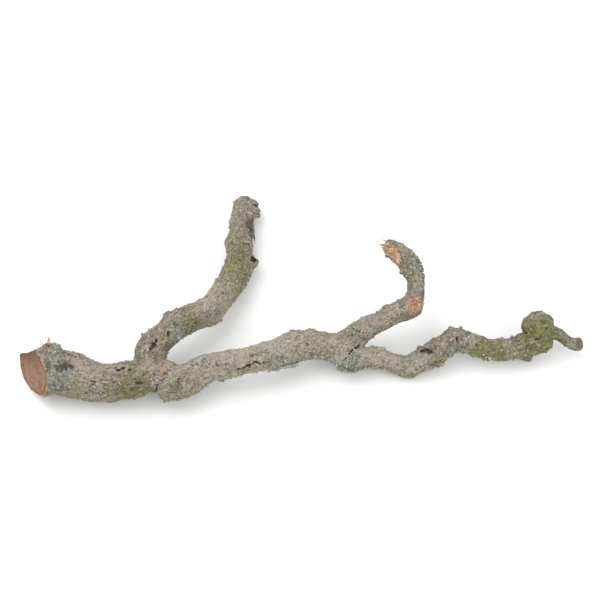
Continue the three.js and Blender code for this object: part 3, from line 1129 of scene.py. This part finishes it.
# where each layer starts and stops on its pattern, and how strong it is at either
barkLayers = {
    "tan": (0.38, 0.62, 0, 1),
    "paleStreak": (0.5, 0.72, 0, 0.5),
    "brownStreak": (0.48, 0.3, 0, 0.6),
    "blush": (0.2, 1.1, 0, 0.7),
    "green": (0.1, 1.1, 0, 0.85),
    "vivid": (0.9, 1.7, 0, 0.7),
    "mould": (0.55, 0.43, 0, 0.8),
    "mouldWhereGreen": (0.5, 1.2, 0, 1),
    "paleWash": (0.0, 1.2, 0, 0.5),
    "smallSpot": (0.34, 0.2, 0, 1),
    "largeSpot": (0.28, 0.18, 0, 1),
    "spotCluster": (0.44, 0.6, 0.1, 1),
    "crust": (0.55, 0.68, 0, 1),
    "clearOfGreen": (0.75, 1.3, 1, 0.2),
    "grey": (0.3, 1.0, 0, 0.75),
    "fleck": (0.54, 0.65, 0, 0.65),
    "pitThread": (0.47, 0.36, 0, 0.75),
    "paleThread": (0.54, 0.66, 0, 0.55),
    "pepper": (0.46, 0.37, 0, 0.9),
    "raised": (0.15, 0.9, 0, 0.34),
    "sunkenShade": (0.05, -0.7, 0, 0.8),
    "bareWood": (0.5, 0.9, 0, 0.85),
    "dark": (0.3, 1.25, 0, 0.84),
    "roughness": (0.3, 0.7, 0.84, 0.97),
}
# how the edge of each patch is broken up: by which noise, and between which of its values, by how much
patchEdges = {
    "blush": ("middling", (0.3, 0.7, -0.6, 0.6)),
    "green": ("middling", (0.3, 0.7, 0.75, -0.75)),
    "paler": ("middling", (0.3, 0.7, -0.4, 0.4)),
    "grey": ("crust", (0.35, 0.7, -0.8, 0.8)),
    "bareWood": ("crust", (0.35, 0.65, -0.3, 0.3)),
    "dark": ("crust", (0.3, 0.7, -0.6, 0.6)),
}
crustSpots = {"small": 230, "large": 120, "strength": 0.6}
barkBump = {"fine": 0.6, "crust": 0.3, "strength": 0.85, "distance": 0.0018}


def barkMaterial(name, kind):
    nodes = Nodes(name, barkColours["brown"])
    place, grain = nodes.place(), nodes.vector("grain")
    relief, green = nodes.number("relief"), nodes.number("green")
    noises = {pattern: nodes.noise(place, *values) for pattern, values in barkNoises.items()}
    for pattern, (drawnOut, values) in grainNoises.items():
        noises[pattern] = nodes.noise(nodes.stretch(grain, drawnOut), *values)
    patches = {}
    for patch, (pattern, edge) in patchEdges.items():
        patches[patch] = nodes.sum("ADD", nodes.number(patch), nodes.between(noises[pattern], *edge))
    clear = nodes.between(green, *barkLayers["clearOfGreen"])

    def coat(colour, mask, layer, share=1.0):
        nodes.paint(barkColours[colour], mask, barkLayers[layer], share)

    def coatWhere(colour, mask, layer, where):
        strength = nodes.sum("MULTIPLY", nodes.between(mask, *barkLayers[layer]), where)
        nodes.paint(barkColours[colour], strength)

    coat("tan", noises["slow"], "tan")
    coat("pale", noises["streak"], "paleStreak")
    coat("brown", noises["streak"], "brownStreak")
    # blush is partly painted light on the upper side, and green partly painted shade low down
    coat("blush", patches["blush"], "blush", kind["blush"])
    coat("green", patches["green"], "green", kind["green"])
    coat("vivid", patches["green"], "vivid")
    coatWhere("mould", noises["mould"], "mould", nodes.between(green, *barkLayers["mouldWhereGreen"]))
    # the bark is painted lighter over these pale patches
    coat("paleWash", patches["paler"], "paleWash")

    small = nodes.between(nodes.cells(place, crustSpots["small"]), *barkLayers["smallSpot"])
    large = nodes.between(nodes.cells(place, crustSpots["large"]), *barkLayers["largeSpot"])
    clustered = nodes.between(noises["cluster"], *barkLayers["spotCluster"])
    spots = nodes.sum("MULTIPLY", nodes.sum("MAXIMUM", small, large), clustered)
    crusted = nodes.sum("MAXIMUM", spots, nodes.between(noises["crust"], *barkLayers["crust"]))
    crusted = nodes.sum("MULTIPLY", crusted, clear)
    nodes.paint(barkColours["pale"], nodes.sum("MULTIPLY", crusted, crustSpots["strength"] * kind["pale"]))
    coat("grey", patches["grey"], "grey", kind["grey"])

    coatWhere("pale", noises["fine"], "fleck", clear)
    coat("pit", noises["thread"], "pitThread")
    coat("pale", noises["thread"], "paleThread")
    coatWhere("pit", noises["pepper"], "pepper", clear)
    coatWhere("pale", relief, "raised", clear)
    # painted shade: the sunken bark is painted darker
    coat("dark", relief, "sunkenShade")
    coat("wood", patches["bareWood"], "bareWood")
    # dark patches: partly the bark's own, partly painted shade
    coat("dark", patches["dark"], "dark")
    # painted shade: the cracks and hollows are painted nearly black
    nodes.paint(barkColours["dark"], nodes.sum("MULTIPLY", nodes.number("deep"), 0.9))
    nodes.paint((kind["shade"],) * 3, 1.0, kind="MULTIPLY")

    height = nodes.sum("ADD", nodes.sum("MULTIPLY", noises["fine"], barkBump["fine"]), noises["middling"])
    height = nodes.sum("ADD", height, nodes.sum("MULTIPLY", crusted, barkBump["crust"]))
    nodes.bump(height, barkBump["strength"], barkBump["distance"])
    return nodes.finish(nodes.between(noises["fine"], *barkLayers["roughness"]))


cutWood = {
    "butt": {
        "light": (0.345, 0.205, 0.122), "ring": (0.165, 0.080, 0.040),
        "stainAndShade": (0.165, 0.082, 0.042), "rim": (0.140, 0.058, 0.026),
        "rimWidth": 12, "spacing": 18, "rings": 0.4, "saw": 0.5, "checks": 0.4,
        "lip": (0.440, 0.270, 0.170), "lipWidth": 3.6, "lipSide": (-0.86, -0.51, 0),
        # painted shade: the face is painted darker towards this side, in the stain colour
        "shadedSide": (0.71, -0.70, 0),
    },
    "stump": {
        "light": (0.560, 0.360, 0.245), "ring": (0.215, 0.095, 0.060),
        "stainAndShade": (0.330, 0.155, 0.100), "rim": (0.120, 0.060, 0.042),
        "rimWidth": 1.8, "spacing": 5.5, "rings": 0.85, "saw": 0.3, "checks": 0.95,
    },
    "hook": {
        "light": (0.780, 0.580, 0.400), "ring": (0.260, 0.120, 0.064),
        "stainAndShade": (0.360, 0.175, 0.098), "rim": (0.120, 0.055, 0.035),
        "rimWidth": 2.4, "spacing": 8, "rings": 0.6, "saw": 0.4, "checks": 0.95,
    },
    "twig": {
        "light": (0.270, 0.185, 0.140), "ring": (0.095, 0.057, 0.044),
        "stainAndShade": (0.150, 0.092, 0.070), "rim": (0.060, 0.040, 0.032),
        "rimWidth": 2.8, "spacing": 5, "rings": 0.8, "saw": 0.2, "checks": 0.7,
    },
    "bite": {
        "light": (0.330, 0.205, 0.124), "ring": (0.150, 0.082, 0.048),
        "stainAndShade": (0.185, 0.100, 0.058), "rim": (0.105, 0.062, 0.040),
        "rimWidth": 3.0, "spacing": 7, "rings": 0.6, "saw": 0.7, "checks": 0.8,
    },
}
woodNoises = {
    "wobble": (0.07, 3),
    "fine": (1.1, 4, 0.7),
    "broad": (0.05, 4),
    "checks": (0.16, 3, 0.55, 1.2),
}
sawMarks = {"drawnOut": (0.03, 1.0, 1.0), "noise": (0.9, 3)}
woodLayers = {
    "rings": (0.1, 1, 0, 1),
    "stainAndShade": (0.45, 0.65, 0, 0.75),
    "saw": (0.52, 0.7, 0, 1),
    "checks": (0.05, 0.01, 0, 1),
    "fine": (0.35, 0.65, 0.3, 0),
    "shadedSide": (4, 28, 0, 0.8),
    "lipSide": (2, 12, 0, 1),
}
ringWobble = 14
cutRoughness = 0.82


def cutWoodMaterial(name, look):
    nodes = Nodes(name, look["light"])
    plane, rim = nodes.vector("cutSpace"), nodes.number("rimDepth")
    noises = {pattern: nodes.noise(plane, *values) for pattern, values in woodNoises.items()}
    length = nodes.add("VectorMath", operation="LENGTH")
    nodes.link(plane, length.inputs[0])
    wobble = nodes.sum("MULTIPLY", noises["wobble"], ringWobble)
    travelled = nodes.sum("ADD", length.outputs["Value"], wobble)
    wave = nodes.sum("SINE", nodes.sum("MULTIPLY", travelled, 2 * math.pi / look["spacing"]), 0)
    nodes.paint(look["ring"], wave, woodLayers["rings"], look["rings"])
    nodes.paint(look["stainAndShade"], noises["broad"], woodLayers["stainAndShade"])
    saw = nodes.noise(nodes.stretch(plane, sawMarks["drawnOut"]), *sawMarks["noise"])
    nodes.paint(look["ring"], saw, woodLayers["saw"], look["saw"])
    split = nodes.sum("ABSOLUTE", nodes.sum("SUBTRACT", noises["checks"], 0.5), 0)
    nodes.paint(look["rim"], split, woodLayers["checks"], look["checks"])
    nodes.paint(look["ring"], noises["fine"], woodLayers["fine"])
    # painted shade: the face is painted darker towards one side, in the stain colour
    if "shadedSide" in look:
        nodes.paint(look["stainAndShade"], nodes.along(plane, look["shadedSide"]), woodLayers["shadedSide"])
    sway = 0.2 * look["rimWidth"]
    fromRim = nodes.sum("ADD", rim, nodes.between(noises["broad"], 0.3, 0.7, -sway, sway))
    nodes.paint(look["rim"], fromRim, (look["rimWidth"], 0.3, 0, 0.9))
    if "lip" in look:
        onSide = nodes.between(nodes.along(plane, look["lipSide"]), *woodLayers["lipSide"])
        nearRim = nodes.between(fromRim, look["lipWidth"], look["lipWidth"] - 1.5, 0, 0.9)
        nodes.paint(look["lip"], nodes.sum("MULTIPLY", nearRim, onSide))
    nodes.bump(nodes.sum("ADD", noises["fine"], saw), 0.4, 0.0006)
    return nodes.finish(cutRoughness)


def shadeLimb(limb, slot):
    pick(limb)
    bpy.ops.object.shade_smooth()
    limb.data.materials.clear()
    limb.data.materials.append(barkMaterial(limb.name + "Bark", barkKinds[slot]))
    cutEndOf = np.round(getNumbers(limb.data, "cutEndOf"))
    corners = np.zeros(len(limb.data.loops), int)
    limb.data.loops.foreach_get("vertex_index", corners)
    starts = np.zeros(len(limb.data.polygons), int)
    limb.data.polygons.foreach_get("loop_start", starts)
    lowest = np.minimum.reduceat(cutEndOf[corners], starts)
    chosen = np.zeros(len(starts), int)
    for number, name in enumerate(cutWood, 1):
        onFace = lowest == number
        if onFace.any():
            chosen[onFace] = len(limb.data.materials)
            limb.data.materials.append(cutWoodMaterial(name + "Wood", cutWood[name]))
    limb.data.polygons.foreach_set("material_index", chosen)
    limb.data.update()


limbs = partLimbs(branch)
for entry in forks + [buttLimb]:
    limb = limbs[entry["name"]]
    shadeLimb(limb, entry["slot"])
    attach(limb, "root")
    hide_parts(entry["node"])
    print(entry["name"], len(limb.data.polygons), "faces")


# Small things that stand on the bark: loose flakes, leafy lichen, splinters and torn fibres

chance = np.random.default_rng(11)
anchorFields = ("grain", "relief", "deep", "green", "blush", "grey", "dark", "bareWood")


def anchorsOf(names):
    # places on the finished bark where something can stand, with its colouring
    gathered = {"point": [], "normal": [], **{field: [] for field in anchorFields}}
    for name in names:
        mesh = limbs[name].data
        onBark = (getNumbers(mesh, "cutEndOf") < 0.5) & (getNumbers(mesh, "deep") < 0.2)
        gathered["point"].append((readPoints(mesh) / mm - np.array(drawingOffset))[onBark])
        gathered["normal"].append(readNormals(mesh)[onBark])
        for field in anchorFields:
            gathered[field].append(getNumbers(mesh, field)[onBark])
    return {field: np.concatenate(values) for field, values in gathered.items()}


def leafShape():
    # a fan-shaped lobe with a scalloped edge, one long and thin: its corners and its faces
    widths, rows, columns = (0.22, 0.62, 1.0, 0.8), 4, 5
    top = []
    for i in range(rows):
        for j in range(columns):
            side = (j / (columns - 1) - 0.5) * 2
            reach = i / (rows - 1) - (0.16 * (j % 2) if i == rows - 1 else 0.1 * side * side)
            top.append((reach, side * widths[i] * 0.55, 0.42 * (i / (rows - 1)) ** 2 + 0.16 * side * side))
    top = np.array(top)
    corners = np.concatenate([top, top - (0, 0, 0.10)])
    count = rows * columns
    faces = []
    for i in range(rows - 1):
        for j in range(columns - 1):
            first = i * columns + j
            square = (first, first + columns, first + columns + 1, first + 1)
            faces.append(square[::-1])
            faces.append(tuple(count + k for k in square))
    ring = list(range(columns)) + [i * columns + columns - 1 for i in range(1, rows)]
    ring += [count - 1 - j for j in range(1, columns)] + [i * columns for i in range(rows - 2, 0, -1)]
    for this, following in zip(ring, ring[1:] + ring[:1]):
        faces.append((this, count + this, count + following, following)[::-1])
    return corners, faces


def plateShape():
    # an uneven six-sided plate, one long and thin
    angles = np.radians([0, 50, 130, 180, 235, 305])
    rim = np.stack([np.cos(angles) * 0.5, np.sin(angles) * 0.32, np.zeros(6)], axis=1)
    top = rim * 0.8 + (0, 0, 0.09)
    faces = [tuple(range(6)), tuple(range(11, 5, -1))]
    faces += [(6 + i, 6 + (i + 1) % 6, (i + 1) % 6, i) for i in range(6)]
    return np.concatenate([top, rim - (0, 0, 0.08)]), faces


def spikeShape():
    # a long thin shard with a broken tip
    rings = [(0.0, 1.0), (0.45, 0.75), (0.8, 0.4), (1.0, 0.08)]
    corners = [(along, math.cos(a) * wide * 0.5, math.sin(a) * wide * 0.3) for along, wide in rings
               for a in (0.3, 1.8, 3.4, 5.0)]
    faces = [(3, 2, 1, 0), (12, 13, 14, 15)]
    for ring in range(3):
        for i in range(4):
            first, following = 4 * ring + i, 4 * ring + (i + 1) % 4
            faces.append((first, following, following + 4, first + 4))
    return np.array(corners), faces


def framesAt(normals, forwards, lift, turn):
    # three axes for each place: along the surface and lifted from it, across, and outwards
    along = forwards - normals * np.sum(forwards * normals, axis=1)[:, None]
    along /= np.linalg.norm(along, axis=1)[:, None] + 1e-9
    across = np.cross(normals, along)
    along, across = (
        along * np.cos(turn)[:, None] + across * np.sin(turn)[:, None],
        across * np.cos(turn)[:, None] - along * np.sin(turn)[:, None],
    )
    raised = along * np.cos(lift)[:, None] + normals * np.sin(lift)[:, None]
    outwards = normals * np.cos(lift)[:, None] - along * np.sin(lift)[:, None]
    return np.stack([raised, across, outwards], axis=1)


def scatter(name, shape, points, frames, sizes, fields=None):
    # one mesh of many copies of a shape, each at its own place, turned by its frame and sized on three axes
    corners, faces = shape
    copies = len(points)
    placed = corners[None] * sizes[:, None, :]
    placed = np.einsum("nki,nij->nkj", placed, frames) + points[:, None, :]
    placed[..., 2] = np.maximum(placed[..., 2], 0.05)
    allFaces = [tuple(k + n * len(corners) for k in face) for n in range(copies) for face in faces]
    mesh = bpy.data.meshes.new(name)
    mesh.from_pydata((placed.reshape(-1, 3) + np.array(drawingOffset)) * mm, [], allFaces)
    mesh.update()
    item = bpy.data.objects.new(name, mesh)
    scene.collection.objects.link(item)
    for field, values in (fields or {}).items():
        setNumbers(mesh, field, np.repeat(values, len(corners), axis=0).astype(float))
    return item


def turnFacesOut(item):
    pick(item)
    bpy.ops.object.mode_set(mode="EDIT")
    bpy.ops.mesh.select_all(action="SELECT")
    bpy.ops.mesh.normals_make_consistent(inside=False)
    bpy.ops.object.mode_set(mode="OBJECT")


flakes = {
    "count": 1500,
    "length": (3.5, 8.5),
    "slimness": (0.7, 1.4),
    "thickness": 0.9,
    "lift": (0.05, 0.35),
    "sink": 0.25,
    "above": 6,
    "clusters": {"size": 22, "seed": 81, "lift": 0.35, "least": 0.02},
    "spread": 0.6,
    "turn": 0.7,
    "relief": (-0.1, 0.9),
}


def addFlakes(anchors):
    wanted = (anchors["relief"] > 0.0) & (anchors["point"][:, 2] > flakes["above"])
    clusters = flakes["clusters"]
    likely = clusters["lift"] + smoothNoise(anchors["point"], clusters["size"], clusters["seed"])
    likely = np.clip(likely, clusters["least"], 1) * wanted
    picked = chance.choice(len(likely), flakes["count"], replace=False, p=likely / likely.sum())
    normals, points = anchors["normal"][picked], anchors["point"][picked]
    forwards = chance.normal(size=points.shape) * flakes["spread"] + np.array((1, 0, 0))
    lift = chance.uniform(*flakes["lift"], len(points))
    frames = framesAt(normals, forwards, lift, chance.normal(0, flakes["turn"], len(points)))
    length = chance.uniform(*flakes["length"], len(points))
    width = length * chance.uniform(*flakes["slimness"], len(points))
    sizes = np.stack([length, width, length * flakes["thickness"]], axis=1)
    fields = {field: anchors[field][picked] for field in anchorFields}
    fields["relief"] = chance.uniform(*flakes["relief"], len(points))
    fields["deep"] = np.zeros(len(points))
    item = scatter("barkFlakes", plateShape(), points - normals * flakes["sink"], frames, sizes, fields)
    item.data.materials.append(barkMaterial("flakeBark", barkKinds["grey_bark"]))
    return item


# strips of bark that hang off the side limb's tip
peeling = {
    # where each starts, its way, length, width and thickness
    "strips": [
        ((-90, 193, 27), (0.13, -1.0, 0.04), 57, 19, 7),
        ((-89, 178, 34), (0.11, -1.0, -0.02), 38, 13, 6),
    ],
    "outwards": (-1, 0, 0.2),
    "darker": 0.5,
    "rough": {"height": 0.9, "size": 6, "layers": 2, "seed": 83},
}


def addPeelingStrips(anchors):
    starts = np.array([strip[0] for strip in peeling["strips"]], float)
    frames = []
    for strip in peeling["strips"]:
        along = np.array(Vector(strip[1]).normalized())
        across = np.cross(along, peeling["outwards"])
        across /= np.linalg.norm(across)
        frames.append(np.stack([along, across, np.cross(along, across)]))
    sizes = np.array([strip[2:] for strip in peeling["strips"]], float)
    nearest = [np.argmin(np.linalg.norm(anchors["point"] - start, axis=1)) for start in starts]
    fields = {field: anchors[field][nearest] for field in anchorFields}
    fields["bareWood"] = np.zeros(len(starts))
    fields["dark"] = fields["dark"] + peeling["darker"]
    item = scatter("peelingBark", spikeShape(), starts, np.array(frames), sizes, fields)
    applyModifier(item, "SUBSURF", levels=2, subdivision_type="SIMPLE")
    points = readPoints(item.data) / mm
    rough = peeling["rough"]
    push = rough["height"] * layeredNoise(points, rough["size"], rough["layers"], rough["seed"])
    writePoints(item.data, (points + readNormals(item.data) * push[:, None]) * mm)
    item.data.materials.append(barkMaterial("peelingBark", barkKinds["tan_bark"]))
    return item


lichens = {
    # x, y, z, reach, how many lobes and their length
    "rosettes": [
        (-401, -183, 73, 11, 90, 4.0), (-414, -143, 87, 9, 60, 4.0), (-425, -165, 84, 10, 70, 3.6),
        (-385, -171, 78, 4, 10, 3.0), (-413, -125, 84, 9, 40, 4.0), (-395, -190, 62, 10, 50, 3.4),
        (-47, -146, 51, 5, 22, 5.5), (-40, -144, 43, 5, 26, 6.0), (-25, -138, 40, 5, 26, 6.0),
        (-11, -133, 40, 5, 20, 5.5), (-34, -136, 60, 9, 40, 3.2), (94, -128, 53, 9, 60, 3.4),
        (92, -137, 44, 9, 60, 4.0), (71, -140, 32, 6, 34, 5.0), (81, -139, 27, 7, 40, 5.5),
        (93, -139, 29, 7, 34, 5.0), (115, -137, 29, 6, 24, 4.6), (64, -137, 42, 9, 40, 3.4),
        (24, -120, 41, 8, 24, 3.4), (216, -132, 29, 5, 22, 5.0), (225, -131, 31, 5, 26, 5.4),
        (241, -125, 27, 5, 18, 5.0), (259, -101, 52, 8, 44, 3.4), (287, -85, 60, 10, 60, 3.2),
        (278, -104, 39, 8, 50, 3.6), (260, -110, 39, 7, 34, 3.6), (185, 38, 128, 6, 26, 3.2),
        (204, 26, 115, 8, 54, 3.4), (209, 20, 108, 6, 30, 3.2), (209, -16, 92, 5, 22, 3.2),
        (-206, -96, 73, 9, 40, 3.2), (-212, -83, 90, 7, 26, 3.0), (-90, 158, 26, 8, 34, 3.8),
        (-104, -152, 68, 5, 14, 2.6), (-160, -175, 36, 8, 24, 4.2), (320, -118, 30, 12, 24, 3.4),
        (-95, 60, 30, 12, 24, 3.4),
    ],
    "rosetteShape": {"core": 0.55, "edge": 1.6, "margin": 4},
    "lobe": {
        "length": (0.6, 1.25),
        "lift": (0.15, 0.75),
        "width": (0.7, 1.2),
        "curl": (0.6, 1.3),
        "raised": 0.15,
    },
    "scattered": {
        "count": 1100,
        "length": (1.2, 3.6),
        "lift": (0.0, 0.35),
        "above": 5,
        "bare": (416, -74, 48, 50),  # none grow on the burl
        "clusters": {"size": 19, "seed": 88, "onGrey": 0.35, "from": 0.12, "power": 1.5},
    },
    "tint": {"middle": 0.5, "swing": 0.8, "size": 8, "seed": 89, "jitter": 0.45},
}


def addLichens(anchors):
    points, normals, lengths, lifts = [], [], [], []
    shape, lobe, scattered = lichens["rosetteShape"], lichens["lobe"], lichens["scattered"]
    for x, y, z, reach, count, length in lichens["rosettes"]:
        away = np.linalg.norm(anchors["point"] - (x, y, z), axis=1)
        inside = away < shape["edge"] * reach + shape["margin"]
        likely = np.exp(-0.5 * (away / (shape["core"] * reach)) ** 2) * inside + 1e-12
        picked = chance.choice(len(likely), count, replace=False, p=likely / likely.sum())
        points.append(anchors["point"][picked])
        normals.append(anchors["normal"][picked])
        lengths.append(length * chance.uniform(*lobe["length"], count))
        lifts.append(chance.uniform(*lobe["lift"], count))
    clusters = scattered["clusters"]
    patchy = smoothNoise(anchors["point"], clusters["size"], clusters["seed"])
    patchy = patchy + clusters["onGrey"] * anchors["grey"]
    x, y, z, reach = scattered["bare"]
    onBurl = np.linalg.norm(anchors["point"] - (x, y, z), axis=1) < reach
    wanted = (anchors["point"][:, 2] > scattered["above"]) & ~onBurl
    likely = np.clip(patchy - clusters["from"], 0, 1) ** clusters["power"] * wanted
    count = scattered["count"]
    picked = chance.choice(len(likely), count, replace=False, p=likely / likely.sum())
    points.append(anchors["point"][picked])
    normals.append(anchors["normal"][picked])
    lengths.append(chance.uniform(*scattered["length"], count))
    lifts.append(chance.uniform(*scattered["lift"], count))
    points, normals, lengths = np.concatenate(points), np.concatenate(normals), np.concatenate(lengths)
    frames = framesAt(normals, chance.normal(size=points.shape), np.concatenate(lifts), np.zeros(len(points)))
    widths = chance.uniform(*lobe["width"], len(points))
    curls = chance.uniform(*lobe["curl"], len(points))
    sizes = lengths[:, None] * np.stack([np.ones(len(points)), widths, curls], axis=1)
    look = lichens["tint"]
    jitter = chance.uniform(-look["jitter"], look["jitter"], len(points))
    tint = look["middle"] + look["swing"] * smoothNoise(points, look["size"], look["seed"]) + jitter
    starts = points + normals * lobe["raised"]
    item = scatter("leafyLichen", leafShape(), starts, frames, sizes, {"tint": np.clip(tint, 0, 1)})
    item.data.materials.append(lichenMaterial())
    return item


lichenColours = {
    "low": (0.175, 0.168, 0.122),
    "high": (0.60, 0.592, 0.525),
    "shade": (0.31, 0.305, 0.245),
    "bloom": (0.60, 0.60, 0.53),
}


def lichenMaterial():
    nodes = Nodes("leafyLichen", lichenColours["low"])
    place = nodes.place()
    nodes.paint(lichenColours["high"], nodes.number("tint"))
    nodes.paint(lichenColours["shade"], nodes.noise(place, 240, 4, 0.7), (0.4, 0.6, 0, 0.5))
    nodes.paint(lichenColours["bloom"], nodes.noise(place, 90, 3), (0.55, 0.7, 0, 0.5))
    nodes.bump(nodes.noise(place, 900, 3), 0.4, 0.0006)
    return nodes.finish(0.93)


splinters = {
    "count": 150,
    "length": (2.5, 8.0),
    "width": (1.2, 3.4),
    "lift": (0.15, 0.9),
    "leaning": (-0.8, 0.15, 0.25),
    "spread": 0.35,
    "sink": 0.8,
    "shardSide": (0.1, 0.9, 0.3),
    # single shards: where each starts, where it points, its length, width and thickness
    "shards": [
        ((156, 60, 120), (-1.0, 0.04, 0.12), 22, 15, 10),
        ((154, 54, 117), (-1.0, -0.10, -0.05), 14, 9, 8),
        ((153, 56, 120), (-1.0, -0.12, 0.12), 14, 9, 7),
        ((154, 64, 124), (-0.9, 0.30, 0.30), 13, 7, 5),
        ((158, 50, 117), (-0.9, -0.5, 0.3), 9, 6, 5),
        ((162, 43, 114), (-0.9, -0.5, 0.2), 8, 6, 5),
        ((-430, -126, 79), (-0.3, 0.3, 1.0), 13, 6.0, 4.5),
        ((-424, -122, 80), (0.1, 0.5, 1.0), 18, 7.5, 5.5),
        ((-433, -129, 78), (-0.5, 0.2, 1.0), 9, 3.4, 2.6),
        ((-441, -124, 72), (-0.6, 0.4, 0.7), 8, 4.0, 2.6),
    ],
}
tornWood = {"light": (0.74, 0.56, 0.38), "dark": (0.32, 0.16, 0.085), "drawnOut": (90, 420, 420)}


def tornWoodMaterial():
    nodes = Nodes("tornWood", tornWood["light"])
    place = nodes.place()
    streaks = nodes.noise(nodes.stretch(place, tornWood["drawnOut"]), 1.0, 4, 0.7)
    nodes.paint(tornWood["dark"], streaks, (0.35, 0.65, 0, 1))
    nodes.paint(tornWood["dark"], nodes.noise(place, 160, 3), (0.5, 0.7, 0, 0.6))
    nodes.bump(streaks, 0.5, 0.0006)
    return nodes.finish(0.85)


def addSplinters():
    mesh = limbs["rightSideLimb"].data
    torn = np.round(getNumbers(mesh, "cutEndOf")) == list(ends).index("hook") + 1
    points = (readPoints(mesh) / mm - np.array(drawingOffset))[torn]
    facing = np.array(Vector(ends["hook"]["facing"]).normalized())
    picked = chance.choice(len(points), splinters["count"], replace=False)
    count = len(picked)
    leaning = np.array(splinters["leaning"]) + splinters["spread"] * chance.normal(size=(count, 3))
    normals = np.tile(facing, (count, 1))
    frames = framesAt(normals, leaning, chance.uniform(*splinters["lift"], count), np.zeros(count))
    length = chance.uniform(*splinters["length"], count)
    width = chance.uniform(*splinters["width"], count)
    starts, sizes = points[picked] - facing * splinters["sink"], np.stack([length, width, width], axis=1)
    for start, direction, long, wide, thick in splinters["shards"]:
        along = np.array(Vector(direction).normalized())
        side = np.cross(along, splinters["shardSide"])
        side /= np.linalg.norm(side)
        frames = np.concatenate([frames, np.stack([along, side, np.cross(along, side)])[None]])
        starts = np.concatenate([starts, np.array(start, float)[None]])
        sizes = np.concatenate([sizes, [(long, wide, thick)]])
    item = scatter("tornSplinters", spikeShape(), starts, frames, sizes)
    item.data.materials.append(tornWoodMaterial())
    return item


anchors = anchorsOf(limbs)
smallThings = [
    (addFlakes(anchors), "grey_bark"),
    (addPeelingStrips(anchors), "tan_bark"),
    (addLichens(anchors), "lichen"),
    (addSplinters(), "bare_wood"),
]
for item, slot in smallThings:
    turnFacesOut(item)
    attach(item, "root")
    print(item.name, len(item.data.polygons), "faces")
